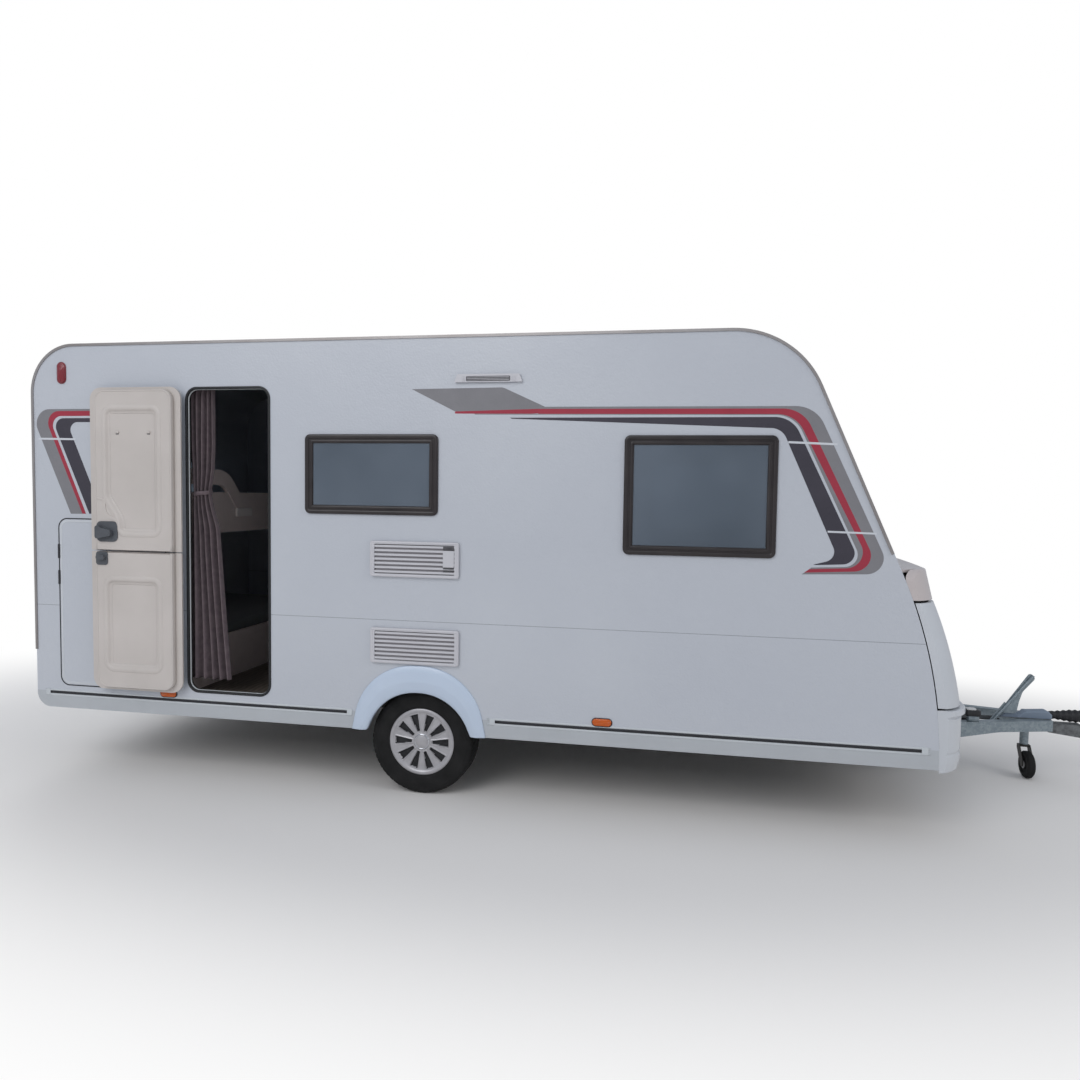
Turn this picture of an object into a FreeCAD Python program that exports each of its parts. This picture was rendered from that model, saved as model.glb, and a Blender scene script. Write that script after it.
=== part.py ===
import FreeCAD, Part
import math
import os
from types import SimpleNamespace

# Travel caravan, parked on its two wheels and its jockey wheel.
# X runs forward to the coupling, Y to the left, Z up. Every piece is drawn from the point on
# the ground below the middle of the axle, and its Placement then carries it to the frame of
# the part, whose origin is the centre of the coupling's ball socket.

os.makedirs("parts", exist_ok=True)
doc = FreeCAD.newDocument("TravelCaravan")
sheet = doc.addObject("Spreadsheet::Sheet", "Sizes")

SIZES = (
    ("body_width", 2300, "over the two side walls"),
    ("wall", 28, "side wall, front, rear and roof sandwich"),
    ("floor_board", 40, "floor sandwich"),
    ("rear_overhang", 2385, "axle to the rear face"),
    ("front_overhang", 2631, "axle to the foot of the front joint"),
    ("roof_edge", 2490, "ground to the side roof edge"),
    ("wall_foot", 455, "ground to the foot of the side sheet"),
    ("skirt_foot", 358, "ground to the foot of the skirt"),
    ("floor_top", 480, "ground to the floor"),
    ("front_rake", 66.3, "degrees of the sloping front from level"),
    ("rake_foot", 857, "height where the slope would meet the upright foot"),
    ("roof_front_round", 473, "radius from roof to slope"),
    ("front_round", 2383, "radius from slope to upright foot"),
    ("roof_rear_round", 280, "radius from rear face to roof"),
    ("rear_foot_round", 130, "radius at the rear foot"),
    ("front_bow", 60, "how far the window panel bows forward"),
    ("nose_bow", 43, "how far the nose bows between its corners"),
    ("nose_corner", 200, "corner radius of the nose in plan"),
    ("nose_skin", 20, "nose moulding"),
    ("seam", 5, "running gap round what opens"),
    ("seat_gap", 0.3, "gap between parts that rest together"),
    ("door_centre", -1125, "axle to the middle of the doorway"),
    ("door_width", 520, "doorway over its seal"),
    ("door_header", 255, "roof edge to the head of the doorway"),
    ("door_sill", 500, "ground to the foot of the doorway"),
    ("door_round", 70, "corner radius of the doorway"),
    ("seal_width", 14, "door seal, seen from outside"),
    ("leaf_width", 574, "door leaf"),
    ("leaf_skin", 12, "outer skin of the leaf"),
    ("leaf_lining", 28, "inner moulding of the leaf"),
    ("leaf_stand", 38, "gap from the wall to the folded leaf"),
    ("leaf_split", 1303, "height where the two leaves meet"),
    ("front_window_width", 752, "front side window"),
    ("front_window_height", 604, "front side window"),
    ("rear_window_width", 759, "kitchen window"),
    ("rear_window_height", 432, "kitchen window"),
    ("front_window_drop", 827, "roof edge to the middle of the front side window"),
    ("rear_window_drop", 736, "roof edge to the middle of the kitchen window"),
    ("window_frame", 48, "visible frame of a window"),
    ("frame_stand", 9, "how far a window frame stands out"),
    ("pane", 5, "acrylic pane"),
    ("hatch_width", 700, "service hatch"),
    ("hatch_height", 985, "service hatch"),
    ("arch_reach", 376, "axle to the outer foot of the arch trim"),
    ("arch_height", 721, "ground to the top of the arch trim"),
    ("arch_band", 80, "width of the arch trim at its foot"),
    ("arch_stand", 14, "how far the arch trim stands out"),
    ("box_depth", 300, "wheel box, from the outside of the wall"),
    ("tyre_radius", 290, "loaded tyre"),
    ("tyre_width", 185, "tyre section"),
    ("rim_radius", 178, "14 inch rim"),
    ("tyre_inset", 50, "wall to the outer side of the tyre"),
    ("track_spindle", 17, "radius of the stub axle"),
    ("spindle_play", 0.05, "running clearance of the hub on its stub axle"),
    ("axle_tube", 90, "square rubber-sprung axle tube"),
    ("arm_reach", 160, "length of the swing arm"),
    ("rail_height", 110, "chassis rail"),
    ("rail_width", 50, "chassis rail"),
    ("rail_spread", 1180, "over the two chassis rails"),
    ("drawbar_top", 370, "ground to the top of the drawbar"),
    ("drawbar_depth", 92, "drawbar member"),
    ("drawbar_width", 50, "drawbar member"),
    ("coupling_reach", 3925, "axle to the ball socket"),
    ("ball_height", 385, "ground to the ball socket"),
    ("ball_socket", 25.15, "radius of the socket for a 50 mm ball"),
    ("gaiter_radius", 38, "bellows, at the coupling head"),
    ("gaiter_neck", 22, "bellows, at the housing"),
    ("overrun_shaft", 19, "radius of the overrun shaft"),
    ("drawbar_tip", 3560, "axle to the front end of the drawbar"),
    ("drawbar_taper", 30, "how much shallower the drawbar is at its tip"),
    ("jockey_reach", 3457, "axle to the jockey tube"),
    ("jockey_offset", 34, "how far the jockey tube stands left of the middle"),
    ("jockey_radius", 80, "jockey wheel"),
    ("jockey_width", 45, "jockey wheel"),
    ("jockey_tube", 24, "radius of the outer jockey tube"),
    ("jockey_head", 392, "ground to the top of the jockey tube"),
    ("jockey_trail", 60, "wheel pin beside the tube"),
    ("steady_reach", 480, "corner steady"),
    ("steady_spread", 1560, "over the corner steadies"),
    ("bunk_front", -1436, "axle to the front of the bunks"),
    ("bunk_length", 1900, "bunk, across the caravan"),
    ("upper_bunk", 1480, "ground to the top of the upper bunk board"),
    ("lower_bunk", 740, "ground to the top of the lower bunk base"),
    ("mattress", 80, "thickness of a mattress"),
    ("bumper_stand", 50, "how far the front bumper stands ahead of the side outline"),
    ("grille_depth", 16, "how far a grille stands out"),
)
for row, (alias, value, note) in enumerate(SIZES, 1):
    sheet.set(f"A{row}", note)
    sheet.set(f"B{row}", str(value))
    sheet.setAlias(f"B{row}", alias)
doc.recompute()
dim = SimpleNamespace(**{alias: float(sheet.get(alias)) for alias, value, note in SIZES})

half = dim.body_width / 2
inner = half - dim.wall
pieces = []


def piece(name):
    """An empty body that ends up as the sub-part called name."""
    body = doc.addObject("PartDesign::Body", name)
    body.Label = name
    pieces.append(body)
    return body


def corner_lines(corners, closed=True):
    """Straight runs joined by tangent arcs, through corners given as (x, y, radius)."""
    count = len(corners)
    entry = []
    leave = []
    bends = []
    for index, (x, y, radius) in enumerate(corners):
        point = FreeCAD.Vector(x, y, 0)
        if radius <= 0 or (not closed and index in (0, count - 1)):
            entry.append(point)
            leave.append(point)
            bends.append(None)
            continue
        before = FreeCAD.Vector(*corners[index - 1][:2], 0)
        after = FreeCAD.Vector(*corners[(index + 1) % count][:2], 0)
        back = (before - point).normalize()
        ahead = (after - point).normalize()
        opening = back.getAngle(ahead)
        reach = radius / math.tan(opening / 2)
        first = point + back * reach
        last = point + ahead * reach
        middle = point + (back + ahead).normalize() * (radius / math.sin(opening / 2) - radius)
        entry.append(first)
        leave.append(last)
        bends.append(Part.Arc(first, middle, last))
    lines = []
    for index in range(count):
        if bends[index]:
            lines.append(bends[index])
        if index == count - 1 and not closed:
            break
        start = leave[index]
        end = entry[(index + 1) % count]
        if start.distanceToPoint(end) > 1e-4:
            lines.append(Part.LineSegment(start, end))
    return lines


def sketch_on(body, name, plane, offset, *loops):
    """A sketch on one of the body's origin planes, moved along its normal by an expression."""
    sketch = body.newObject("Sketcher::SketchObject", name)
    base = next(f for f in body.Origin.OriginFeatures if f.Role == plane + "_Plane")
    sketch.AttachmentSupport = [(base, "")]
    sketch.MapMode = "FlatFace"
    sketch.setExpression("AttachmentOffset.Base.z", offset)
    for loop in loops:
        sketch.addGeometry(loop, False)
    return sketch


def pad(body, name, plane, offset, length, *loops):
    """A pad of closed loops; plane XZ pads towards the right side, -Y."""
    feature = body.newObject("PartDesign::Pad", name + "_pad")
    feature.Profile = sketch_on(body, name, plane, offset, *loops)
    feature.setExpression("Length", length)
    return feature


def pocket(body, name, plane, offset, length, *loops):
    """A pocket of closed loops, cut against the plane's normal."""
    feature = body.newObject("PartDesign::Pocket", name + "_pocket")
    feature.Profile = sketch_on(body, name, plane, offset, *loops)
    feature.setExpression("Length", length)
    return feature


def sweep_across(body, name, section, spine):
    """A side section carried along a line in plan without turning."""
    feature = body.newObject("PartDesign::AdditivePipe", name + "_sweep")
    start = spine[0].StartPoint
    feature.Profile = sketch_on(body, name, "XZ", str(-start.y), section)
    path = sketch_on(body, name + "_path", "XY", "0", spine)
    feature.Spine = (path, [f"Edge{n + 1}" for n in range(len(spine))])
    feature.Mode = "Fixed"
    feature.Transition = "Right corner"
    return feature


def turned(body, name, plane, axis, profile):
    """A profile turned once round a sketch axis."""
    feature = body.newObject("PartDesign::Revolution", name + "_turn")
    sketch = sketch_on(body, name, plane, "0", profile)
    feature.Profile = sketch
    feature.ReferenceAxis = (sketch, [axis])
    feature.Angle = 360
    return feature


def mirrored(body, name, plane, *features):
    """The named features again on the other side of an origin plane."""
    feature = body.newObject("PartDesign::Mirrored", name)
    feature.Originals = list(features)
    base = next(f for f in body.Origin.OriginFeatures if f.Role == plane + "_Plane")
    feature.MirrorPlane = (base, [""])
    body.Tip = feature
    return feature


def repeated(body, name, feature, axis, span, count, polar=False):
    """A feature repeated along, or round, an axis of its own sketch."""
    kind = "PartDesign::PolarPattern" if polar else "PartDesign::LinearPattern"
    pattern = body.newObject(kind, name)
    pattern.Originals = [feature]
    if polar:
        pattern.Axis = (feature.Profile[0], [axis])
        pattern.Angle = span
    else:
        pattern.Direction = (feature.Profile[0], [axis])
        pattern.Length = span
    pattern.Occurrences = count
    body.Tip = pattern
    return pattern


def rounded(body, name, base, radius, keep):
    """A fillet on those edges of base whose ends and middle all pass the test keep."""
    doc.recompute()
    chosen = []
    for index, edge in enumerate(base.Shape.Edges, 1):
        middle = edge.valueAt((edge.FirstParameter + edge.LastParameter) / 2)
        if all(keep(vertex.Point) for vertex in edge.Vertexes) and keep(middle):
            chosen.append(f"Edge{index}")
    fillet = body.newObject("PartDesign::Fillet", name)
    fillet.Base = (base, chosen)
    fillet.Radius = radius
    return fillet


def box_loop(x0, x1, y0, y1, radius=0):
    """A rectangle with rounded corners."""
    return corner_lines([(x0, y0, radius), (x1, y0, radius), (x1, y1, radius), (x0, y1, radius)])


def centred_loop(x, y, width, height, radius=0):
    return box_loop(x - width / 2, x + width / 2, y - height / 2, y + height / 2, radius)


def offset_path(corners, depth):
    """The open line of corners moved to its right by depth, with its arcs kept concentric."""
    points = [FreeCAD.Vector(x, y, 0) for x, y, radius in corners]
    ways = [(b - a).normalize() for a, b in zip(points, points[1:])]
    rights = [FreeCAD.Vector(way.y, -way.x, 0) for way in ways]
    moved = []
    for index, (x, y, radius) in enumerate(corners):
        if index == 0:
            place = points[0] + rights[0] * depth
        elif index == len(corners) - 1:
            place = points[-1] + rights[-1] * depth
        else:
            bisector = rights[index - 1] + rights[index]
            place = points[index] + bisector * (2 * depth / bisector.Length ** 2)
            turn = ways[index - 1].cross(ways[index]).z
            radius = radius + depth * (1 if turn > 0 else -1) if radius else 0
        moved.append((place.x, place.y, max(radius, 0)))
    return moved


def band(corners, depth):
    """A strip of even depth on the right of an open line, as one closed loop."""
    return corner_lines(corners + offset_path(corners, depth)[::-1])


# The side outline: five corners, of which four are rounded.
slope_run = (dim.roof_edge - dim.rake_foot) / math.tan(math.radians(dim.front_rake))
slope_head = dim.front_overhang - slope_run
rear_face = -dim.rear_overhang
rear_foot = (rear_face, dim.skirt_foot, dim.rear_foot_round)
rear_head = (rear_face, dim.roof_edge, dim.roof_rear_round)
front_head = (slope_head, dim.roof_edge, dim.roof_front_round)
half_turn = math.radians(dim.front_rake) / 2
roof_front = slope_head - dim.roof_front_round * math.tan(half_turn)
roof_rear = rear_face + dim.roof_rear_round
nose_turn = math.radians(90 - dim.front_rake) / 2
nose_reach = dim.front_round * math.tan(nose_turn)
nose_centre_x = dim.front_overhang - dim.front_round
nose_centre_z = dim.rake_foot - nose_reach
slope_foot = dim.rake_foot + nose_reach * math.sin(math.radians(dim.front_rake))


def slope_x(height):
    """Where the straight slope of the front stands at a height."""
    rise = height - dim.rake_foot
    return dim.front_overhang - rise / math.tan(math.radians(dim.front_rake))


def nose_x(height, stand=0):
    """Where the rounded foot of the front stands at a height."""
    rise = max(height - nose_centre_z, 0)
    return nose_centre_x + math.sqrt((dim.front_round + stand) ** 2 - rise ** 2)


def nose_path(high, low, stand):
    """The rounded foot of the front between two heights, moved out by stand."""
    radius = dim.front_round + stand
    angle_high = math.asin((high - nose_centre_z) / radius)
    angle_low = math.asin(max(low - nose_centre_z, 0) / radius)
    middle = (angle_high + angle_low) / 2
    apex = radius / math.cos((angle_high - angle_low) / 2)
    path = [(nose_x(high, stand), high, 0)]
    path.append((nose_centre_x + apex * math.cos(middle), nose_centre_z + apex * math.sin(middle), radius))
    path.append((nose_x(low, stand), low, 0))
    return path


def arc_path(start, end, radius):
    """An open line that is one arc of a radius between two points, bulging forward."""
    chord = FreeCAD.Vector(end[0] - start[0], end[1] - start[1], 0)
    half_chord = chord.Length / 2
    stand = half_chord ** 2 / math.sqrt(radius ** 2 - half_chord ** 2)
    out = FreeCAD.Vector(-chord.y, chord.x, 0).normalize() * stand
    apex = ((start[0] + end[0]) / 2 + out.x, (start[1] + end[1]) / 2 + out.y)
    return [(*start, 0), (*apex, radius), (*end, 0)]


def bow(sagitta, reach):
    """A shallow arc in plan, from the right side to the left."""
    ends = [FreeCAD.Vector(0, -reach, 0), FreeCAD.Vector(sagitta, 0, 0), FreeCAD.Vector(0, reach, 0)]
    return [Part.Arc(*ends)]


CORNER_START = math.radians(60)
CORNER_END = math.radians(5)


def nose_plan(reach, stand=0):
    """The nose in plan: a shallow arc between two rounded corners, from right to left."""
    radius = dim.nose_corner
    run = radius * (math.sin(CORNER_START) - math.sin(CORNER_END))
    lead = radius * (math.cos(CORNER_END) - math.cos(CORNER_START))
    half_lead = radius * (math.cos(math.radians(28)) - math.cos(CORNER_START))
    half_run = radius * (math.sin(CORNER_START) - math.sin(math.radians(28)))
    inside = reach - run
    first = FreeCAD.Vector(stand, -reach, 0)
    bend = FreeCAD.Vector(stand + half_lead, half_run - reach, 0)
    shoulder = FreeCAD.Vector(stand + lead, -inside, 0)
    middle = FreeCAD.Vector(stand + lead + dim.nose_bow, 0, 0)
    flip = [FreeCAD.Vector(v.x, -v.y, 0) for v in (shoulder, bend, first)]
    return [Part.Arc(first, bend, shoulder), Part.Arc(shoulder, middle, flip[0]), Part.Arc(*flip)]


nose_lead = dim.nose_corner * (math.cos(CORNER_END) - math.cos(CORNER_START)) + dim.nose_bow

# The wheel arch: an inner cut through the wall and a trim that laps over it. It is nearly half
# a circle, and its band is thicker at the crown than at its feet.
ARCH_LAP = 25
ARCH_CROWN = 1.75
ARCH_NARROWING = 1.25
arch_shoulder = dim.arch_reach * 0.795
arch_round = dim.arch_reach * 0.904
arch_least_round = dim.arch_reach * 0.771


def arch_path(inset):
    """The arch from its rear foot over the wheel to its front foot, drawn in by inset."""
    side = dim.arch_reach - inset
    top = dim.arch_height - inset * ARCH_CROWN
    knee = arch_shoulder - inset * ARCH_NARROWING
    bend = max(arch_round - inset * 2, arch_least_round)
    return [(-side, dim.skirt_foot, 0), (-knee, top, bend), (knee, top, bend), (side, dim.skirt_foot, 0)]


def arch_x(inset, height):
    """Half the width of the arch at a height."""
    (side, foot, none), (knee, top, bend) = arch_path(inset)[3], arch_path(inset)[2]
    return side + (knee - side) * (height - foot) / (top - foot)


def raised(path, height):
    """An arch path with its two feet cut off at a height."""
    inset = dim.arch_reach - path[3][0]
    foot = arch_x(inset, height)
    knee, top, bend = path[2]
    turn = math.atan2(top - height, foot - knee)
    bend = min(bend, 0.98 * math.hypot(foot - knee, top - height) / math.tan(turn / 2))
    return [(-foot, height, 0), (-knee, top, bend), (knee, top, bend), (foot, height, 0)]


# The openings of the side walls, as (centre x, centre z, width, height, corner radius). The door
# and the windows hang from the roof edge, so they follow it.
WINDOW_ROUND = 30
door_head = dim.roof_edge - dim.door_header
door_height = door_head - dim.door_sill
door_hole = (dim.door_centre, dim.door_sill + door_height / 2, dim.door_width, door_height, dim.door_round)
front_window_z = dim.roof_edge - dim.front_window_drop
rear_window_z = dim.roof_edge - dim.rear_window_drop
front_window = (1465, front_window_z, dim.front_window_width, dim.front_window_height, WINDOW_ROUND)
kitchen_window = (-276, rear_window_z, dim.rear_window_width, dim.rear_window_height, WINDOW_ROUND)
bunk_window = (-1850, rear_window_z, 620, dim.rear_window_height, WINDOW_ROUND)
hatch_hole = (-2217 + dim.hatch_width / 2, 495 + dim.hatch_height / 2, dim.hatch_width, dim.hatch_height, 55)


def shifted(arc, x):
    """An arc moved along X."""
    step = FreeCAD.Vector(x, 0, 0)
    return Part.Arc(arc.StartPoint + step, arc.value((arc.FirstParameter + arc.LastParameter) / 2) + step,
                    arc.EndPoint + step)


def shrunk(opening, inset):
    """A rounded opening drawn in on every side."""
    x, y, width, height, radius = opening
    return centred_loop(x, y, width - 2 * inset, height - 2 * inset, max(radius - inset, 1))


def side_wall(name, offset, openings):
    """One side wall: a single sandwich sheet with its windows, doors and arch cut."""
    body = piece(name)
    cut = raised(arch_path(ARCH_LAP), dim.wall_foot)[::-1]
    outline = [(rear_face + 4, dim.wall_foot, 0), rear_head, front_head]
    outline += nose_path(slope_foot, dim.wall_foot, 0) + cut
    pad(body, name + "_sheet", "XZ", offset, "Sizes.wall", corner_lines(outline), *openings)


RIGHT_WALL = "Sizes.body_width / 2 - Sizes.wall"
LEFT_WALL = "-Sizes.body_width / 2"
frame_lap = dim.window_frame / 2
right_windows = (front_window, kitchen_window)
left_windows = (front_window, kitchen_window, bunk_window)
side_wall("side_wall_right", RIGHT_WALL, [shrunk(w, frame_lap) for w in right_windows]
          + [shrunk(door_hole, 0), shrunk(hatch_hole, 0)])
side_wall("side_wall_left", LEFT_WALL, [shrunk(w, frame_lap) for w in left_windows])


def skirts():
    """The plastic skirt below each side sheet, in two lengths either side of the wheel."""
    body = piece("skirts")
    reach = arch_x(ARCH_LAP, dim.skirt_foot)
    top = arch_x(ARCH_LAP, dim.wall_foot)
    rear = [(rear_face + 4, dim.wall_foot, 0), (rear_face + 2, dim.skirt_foot, 88)]
    rear += [(-reach, dim.skirt_foot, 0), (-top, dim.wall_foot, 0)]
    front = corner_lines([
        (top, dim.wall_foot, 0), (reach, dim.skirt_foot, 0),
        (dim.front_overhang, dim.skirt_foot, 0), (nose_x(dim.wall_foot), dim.wall_foot, 0)])
    sides = pad(body, "skirt", "XZ", RIGHT_WALL, "Sizes.wall", corner_lines(rear), front)
    mirrored(body, "skirt_other_side", "XZ", sides)


def shell_panels():
    """The rear, roof and front panels between the two side walls."""
    body = piece("rear_panel")
    path = [(rear_face + 200, dim.skirt_foot, 0), rear_foot, rear_head, (roof_rear, dim.roof_edge, 0)]
    pad(body, "rear_section", "XZ", "Sizes.wall - Sizes.body_width / 2", "Sizes.body_width - 2 * Sizes.wall",
        band(path, dim.wall))
    pocket(body, "rear_window_hole", "YZ", str(rear_face + 200), "400",
           centred_loop(0, 1690, 1100 - dim.window_frame, 470 - dim.window_frame, 60))

    body = piece("roof_panel")
    edge = Part.Arc(FreeCAD.Vector(roof_front, -inner, 0), FreeCAD.Vector(roof_front + dim.front_bow, 0, 0),
                    FreeCAD.Vector(roof_front, inner, 0))
    ends = [FreeCAD.Vector(x, y, 0) for x, y in
            ((roof_front, inner), (roof_rear, inner), (roof_rear, -inner), (roof_front, -inner))]
    outline = [edge] + [Part.LineSegment(a, b) for a, b in zip(ends, ends[1:])]
    holes = [centred_loop(x, 0, width, width, 30) for x, width in ROOF_LIGHTS]
    pad(body, "roof_sheet", "XY", "Sizes.roof_edge - Sizes.wall", "Sizes.wall", outline, *holes)

    body = piece("front_panel")
    path = [(roof_front, dim.roof_edge, 0), front_head, (slope_x(PANEL_FOOT), PANEL_FOOT, 0)]
    sweep_across(body, "front_section", band(path, dim.wall), bow(dim.front_bow, inner))
    pocket(body, "front_window_hole", "YZ", "Sizes.front_overhang + 400", str(FRONT_CUT),
           centred_loop(0, FRONT_PANE_Z, FRONT_PANE_WIDTH - dim.window_frame,
                        FRONT_PANE_HEIGHT - dim.window_frame, 90))


ROOF_LIGHTS = ((-1500, 400), (400, 560))
PANEL_FOOT = 1290
CAP_TOP = PANEL_FOOT + 32
FRONT_CUT = dim.front_overhang + 460 - roof_front
FRONT_PANE_FOOT = PANEL_FOOT + 160
FRONT_PANE_HEAD = dim.roof_edge - 420
FRONT_PANE_Z = (FRONT_PANE_FOOT + FRONT_PANE_HEAD) / 2
FRONT_PANE_WIDTH = 1640
FRONT_PANE_HEIGHT = FRONT_PANE_HEAD - FRONT_PANE_FOOT
RING_FOOT = PANEL_FOOT - 490
RING_HEAD = dim.roof_edge + 110
REAR_PANE = (0, dim.roof_edge - 800, 1100, 470, 70)
CAP_SKIN = 14
CAP_RISE = 4
CAP_REACH = 40
cap_x = nose_x(CAP_TOP - CAP_SKIN) + dim.seat_gap
CAP_ROUND = 64
LID_HEAD = CAP_TOP - 158
LID_FOOT = 660
LID_STAND = 46
LID_ROUND = 2150
skirts()
shell_panels()


def cap_line():
    """The straight face of the cap, from its foot to its head, before it is carried round the nose."""
    foot = LID_HEAD + 12
    return [(nose_x(foot) + dim.nose_skin + dim.seam, foot), (cap_x + CAP_REACH, CAP_TOP + CAP_RISE)]


def cap_face(height):
    """Where the face of the cap stands at a height."""
    (foot_x, foot), (head_x, head) = cap_line()
    return foot_x + (head_x - foot_x) * (height - foot) / (head - foot)


def nose():
    """The gas locker nose: a fixed cap, a lid that lifts and a bumper below it."""
    body = piece("locker_cap")
    low, high = cap_line()
    path = [(*high, 12), (*low, 0)] + nose_path(CAP_TOP, low[1], dim.seat_gap)[::-1]
    sweep_across(body, "cap_section", corner_lines(path), nose_plan(half))
    back = slope_x(CAP_TOP - CAP_SKIN) + dim.seat_gap
    front = [shifted(line, cap_x + CAP_RISE) for line in nose_plan(inner)]
    rear = shifted(bow(dim.front_bow, inner)[0], back)
    sides = [Part.LineSegment(rear.StartPoint, front[0].StartPoint),
             Part.LineSegment(front[-1].EndPoint, rear.EndPoint)]
    pad(body, "cap_shelf", "XY", str(CAP_TOP - CAP_SKIN), str(CAP_SKIN), front + [rear] + sides)
    head = CAP_TOP + CAP_RISE
    for side in (-1, 1):
        end = side * (half - CAP_ROUND)
        out = side * (half + 5)
        pocket(body, f"cap_corner_{side + 1}", "YZ", str(dim.front_overhang + 300), "600", corner_lines([
            (end, head, 0), (end, head + 20, 0), (out, head + 20, 0), (out, head - CAP_ROUND - 5, 0),
            (side * half, head - CAP_ROUND - 5, 0), (side * half, head, CAP_ROUND - 3)]))

    pin = [Part.Circle(FreeCAD.Vector(lid_pin_x, LID_PIN_Z, 0), FreeCAD.Vector(0, 0, 1), HINGE_PIN)]
    root = cap_face(LID_PIN_Z + 12) + nose_lead - 2 * LID_ARM
    tip = lid_pin_x + LID_ARM
    ear = corner_lines([(root + LID_ARM, LID_PIN_Z - 30, 0), (tip, LID_PIN_Z - LID_ARM, LID_ARM - 1),
                        (tip, LID_PIN_Z + LID_ARM, LID_ARM - 1), (root, LID_PIN_Z + 12, 0)])
    for side in (-1, 1):
        name = f"lid_hinge_{side + 1}"
        near = side * LID_HINGE_Y - LID_ARM
        pad(body, name + "_ear", "XZ", str(near - LID_ARM), str(LID_ARM - 1), ear)
        pad(body, name + "_far_ear", "XZ", str(near + 2 * LID_ARM + 1), str(LID_ARM - 1), ear)
        pad(body, name + "_pin", "XZ", str(near - LID_ARM), str(4 * LID_ARM), pin)

    body = piece("locker_lid")
    path = arc_path((nose_x(LID_HEAD, dim.nose_skin + dim.seam), LID_HEAD),
                    (nose_x(LID_FOOT) + LID_STAND, LID_FOOT), LID_ROUND)
    path += nose_path(LID_HEAD, LID_FOOT, dim.seam)[::-1]
    sweep_across(body, "lid_section", corner_lines(path), nose_plan(half))
    face = nose_x(LID_HEAD, dim.nose_skin + dim.seam) + nose_lead
    back = face + LID_PIN_STAND - LID_ARM
    arm = corner_lines([(face, LID_HEAD - 60, 0), (back + 2 * LID_ARM, LID_HEAD - 16, 12),
                        (lid_pin_x + LID_ARM, LID_PIN_Z + LID_ARM, LID_ARM - 1),
                        (lid_pin_x - LID_ARM, LID_PIN_Z + LID_ARM, LID_ARM - 1),
                        (back, LID_HEAD - 4, 0), (face - 12, LID_HEAD - 10, 0)])
    bore = [Part.Circle(FreeCAD.Vector(lid_pin_x, LID_PIN_Z, 0), FreeCAD.Vector(0, 0, 1),
                        HINGE_PIN + dim.spindle_play)]
    for side in (-1, 1):
        pad(body, f"lid_arm_{side + 1}", "XZ", str(side * LID_HINGE_Y - LID_ARM), str(2 * LID_ARM), arm, bore)

    body = piece("front_bumper")
    shelf = LID_FOOT - 10
    face = nose_x(shelf) + dim.bumper_stand
    foot = dim.skirt_foot - BUMPER_DROP
    back = nose_x(dim.skirt_foot) + dim.seat_gap
    ledge = face + LEDGE_STAND
    skin = face + 4
    step = face - 2
    profile = [(ledge - 2, shelf, 6), (ledge, LEDGE_FOOT, 4), (step, LEDGE_FOOT - 6, 0),
               (step, LEDGE_FOOT - 14, 0), (skin, LEDGE_FOOT - 18, 0), (skin, GROOVE + 10, 5),
               (skin - 7, GROOVE, 6), (skin, GROOVE - 10, 5), (skin, foot + 50, 30), (face - 8, foot, 5),
               (back, foot, 0)]
    profile += nose_path(shelf, dim.skirt_foot, dim.seat_gap)[::-1]
    sweep_across(body, "bumper_section", corner_lines(profile), nose_plan(half))
    gate = dim.drawbar_top + 6
    pocket(body, "drawbar_gate", "YZ", str(dim.front_overhang + 300), "400", corner_lines([
        (-GATE_REACH, foot - 5, 0), (GATE_REACH, foot - 5, 0),
        (GATE_REACH - 20, gate, 16), (20 - GATE_REACH, gate, 16)]))

    body = piece("locker_bulkhead")
    ceiling_end = slope_x(LOCKER_CEILING) - dim.wall / math.sin(math.radians(dim.front_rake)) - 1
    path = [(BULKHEAD_X, dim.floor_top, 0), (BULKHEAD_X, LOCKER_CEILING, 60), (ceiling_end, LOCKER_CEILING, 0)]
    pad(body, "bulkhead_section", "XZ", "Sizes.wall - Sizes.body_width / 2",
        "Sizes.body_width - 2 * Sizes.wall", band(path, 18))


BULKHEAD_X = 2150
LOCKER_CEILING = PANEL_FOOT + 28
GATE_REACH = 400
LEDGE_FOOT = 622
LEDGE_STAND = 22
GROOVE = 434
BUMPER_DROP = 12
LID_ARM = 8
LID_HINGE_Y = 280
LID_PIN_Z = LID_HEAD + 64
LID_PIN_STAND = 15
HINGE_PIN = 4
lid_pin_x = nose_x(LID_PIN_Z, dim.nose_skin + dim.seam) + nose_lead + LID_PIN_STAND
nose()


def floor():
    """The floor sandwich, cut away round the two wheel boxes."""
    body = piece("floor_panel")
    notch = arch_x(ARCH_LAP, dim.floor_top - dim.floor_board)
    deep = half - dim.box_depth
    back = rear_face + dim.wall + 13
    front = [shifted(line, nose_x(dim.floor_top) - dim.seat_gap) for line in nose_plan(inner)]
    start = (front[0].StartPoint.x, -inner)
    end = (front[-1].EndPoint.x, inner)
    outline = [end, (notch, inner), (notch, deep), (-notch, deep), (-notch, inner), (back, inner),
               (back, -inner), (-notch, -inner), (-notch, -deep), (notch, -deep), (notch, -inner), start]
    sides = corner_lines([(x, y, 0) for x, y in outline], False)
    pad(body, "floor_board_plan", "XY", "Sizes.floor_top - Sizes.floor_board", "Sizes.floor_board",
        front + sides)


floor()


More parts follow.
